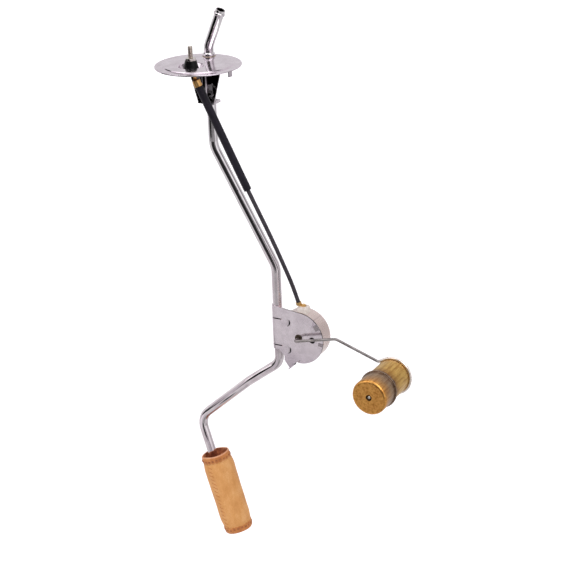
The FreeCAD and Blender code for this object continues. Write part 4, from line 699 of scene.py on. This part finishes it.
def make_world():
    """White to the eye. Reflections see a bright room with dark flags, in four rings from the floor up.
    A ring's stops run round from the sender's back (0) by its left, its front (0.5) and its right, and
    each of the upper three fades in between two heights."""
    world = bpy.data.worlds.new("studio_world")
    bpy.context.scene.world = world
    world.use_nodes = True
    tree = world.node_tree
    tree.nodes.clear()
    place = add_node(tree, "TexCoord").outputs["Generated"]
    turned = add_node(tree, "Mapping", {"Vector": place, "Rotation": (0, 0, math.radians(90))})
    bearing = add_node(tree, "TexGradient", {"Vector": turned}, gradient_type="RADIAL").outputs["Fac"]
    room = add_node(tree, "ValToRGB", {"Fac": bearing}, [
        (0.00, 0.80), (0.20, 0.85), (0.36, 0.76), (0.44, 0.70), (0.48, 0.62), (0.53, 0.34), (0.60, 0.34),
        (0.68, 0.55), (0.76, 0.75), (0.86, 0.60), (1.00, 0.80)])
    height = add_node(tree, "SeparateXYZ", {"Vector": place}).outputs["Z"]
    rings = [
        (-0.60, -0.45, [
            (0.00, 0.90), (0.19, 0.95), (0.31, 0.66), (0.39, 0.74), (0.43, 0.74), (0.46, 0.58),
            (0.52, 0.60), (0.58, 0.68), (0.64, 0.66), (0.705, 0.54), (0.773, 0.42), (0.853, 0.44),
            (0.93, 0.80), (1.00, 0.92)]),
        (-0.33, -0.26, [
            (0.00, 0.80), (0.14, 0.72), (0.24, 0.92), (0.30, 0.50), (0.325, 0.05), (0.53, 0.02),
            (0.60, 0.04), (0.64, 0.50), (0.67, 1.00), (0.74, 1.00), (0.80, 0.60), (0.84, 0.45),
            (0.90, 0.66), (0.95, 0.85)]),
        (0.31, 0.36, [
            (0.00, 0.84), (0.16, 0.88), (0.20, 0.30), (0.22, 0.08), (0.30, 0.08), (0.34, 0.70),
            (0.44, 0.85), (0.47, 0.10), (0.50, 0.08), (0.53, 0.80), (0.62, 0.95), (0.75, 1.00),
            (0.80, 0.25), (0.84, 0.15), (0.88, 0.75), (1.00, 0.84)])]
    for start, end, stops in rings:
        ring = add_node(tree, "ValToRGB", {"Fac": bearing}, stops)
        room = add_node(tree, "Mix", {"Factor": inside(tree, (height, start, end)), "A": room, "B": ring},
                        data_type="RGBA")
    ray = add_node(tree, "LightPath").outputs
    soft = add_node(tree, "Background", {"Color": "#F4F0F6", "Strength": 0.55})
    mirrored = add_node(tree, "Background", {"Color": room, "Strength": 1.0})
    seen = add_node(tree, "Background", {"Color": "#FFFFFF", "Strength": 1.0})
    lit = add_node(tree, "MixShader", {0: ray["Is Glossy Ray"], 1: soft, 2: mirrored})
    shown = add_node(tree, "MixShader", {0: ray["Is Camera Ray"], 1: lit, 2: seen})
    add_node(tree, "OutputWorld", {"Surface": shown})


dress(plated_flange(), "flange")
dress(plated_gusset(), "brace_bracket")
dress(rheostat_plate(), "mounting_plate")
dress(plated_tube(), "fuel_tube")
dress(rheostat_can(), "rheostat_case")
dress(plain_metal("silver_braze", "#8F7F70", "#B5A592", 0.35), "braze_ring")
dress(plain_metal("nickel_plated_nut", "#B4ACA8", "#E2DCD8", 0.15), "terminal_nut")
dress(black_phenolic(), "upper_insulator", "lower_insulator")
dress(brass("stamped_red_brass", "#CF9A58", "#F0BE80", 0.26, 4), "upper_lug")
dress(brass("stamped_pale_brass", "#C9A060", "#E8C48C", 0.26, 4),
      "lower_lug", "case_terminal", "contact_strap", "wiper_lever")
dress(plain_metal("dark_turned_bush", "#3C322A", "#6E6258", 0.25, 2), "pivot_bush")
dress(brass("phosphor_bronze_spring", "#A9714A", "#C98F63", 0.25), "wiper_blade")
dress(plain_metal("silver_contact", "#C9C9C9", "#E6E4E0", 0.2), "wiper_contact")
dress(cable_skin("varnished_black_sleeve", "#15121A", "#221D28", 0.45, 1.1), "lead_sleeve")
dress(cable_skin("dark_lead_insulation", "#2C292E", "#433E44", 0.34, 2.5), "lead_wire")
dress(cream_moulding(), "terminal_block")
dress(pressed_board("laminated_card", "#6B452A", "#8A5D3A", 0.5), "resistor_card")
dress(pressed_board("moulded_brown_holder", "#3F2A20", "#5A3C2C", 0.45), "card_holder")
dress(wound_wire(), "resistance_winding")
dress(arm_wire(), "float_arm")
dress(float_brass(), "float_front_cup", "float_rear_cup")
dress(plain_metal("soft_solder", "#6C6664", "#C8C0BA", 0.38, 2), "float_seam_solder")
dress(plain_metal("bright_solder", "#C4BEB8", "#F4F0EC", 0.45, 2), "float_solder_dot")
dress(stained_lining(), "filter_sock", "filter_foot_disc", "filter_grip_ring")
dress(nickel_thread(), "terminal_stud")
make_filter_cloth()
make_filter_stitches()
make_threaded_stud()

make_camera()
make_floor()
make_world()
# Flags are black and cards bright. Each is held off the spot whose mirrored streak it makes.
# Name, spot, azimuth, elevation, distance, size, shine.
for card in (("gusset_flag", (-4.8, 17.6, -24.0), -29, -22, 150, 85, 0.0),
             ("pickup_card", (-20.0, 28.8, -440.0), 16, 8, 150, 110, 0.62),
             ("return_card", (-5.0, 24.0, -360.0), -50, 2, 60, 40, 0.66),
             ("return_flag", (36.0, 24.0, -328.0), -52, 1, 60, 24, 0.0),
             ("bend_flag", (-33.0, 24.5, -405.0), 18, -10, 50, 26, 0.0),
             ("bend_card", (-36.0, 24.0, -396.0), -45, -22, 50, 28, 1.0),
             ("clamp_card", (74.0, 26.0, -238.0), 90, -22, 34, 34, 0.60),
             ("spout_flag", (4.0, 28.8, 28.0), -28, -15, 120, 84, 0.0)):
    make_card(*card)
# Name, azimuth, elevation, strength, spread.
for lamp in (("key_lamp", 62, 46, 1.10, 40),
             ("fill_lamp", -48, 30, 0.90, 60),
             ("top_lamp", 10, 84, 0.50, 60)):
    make_lamp(*lamp)
bpy.context.scene.view_settings.view_transform = "Standard"
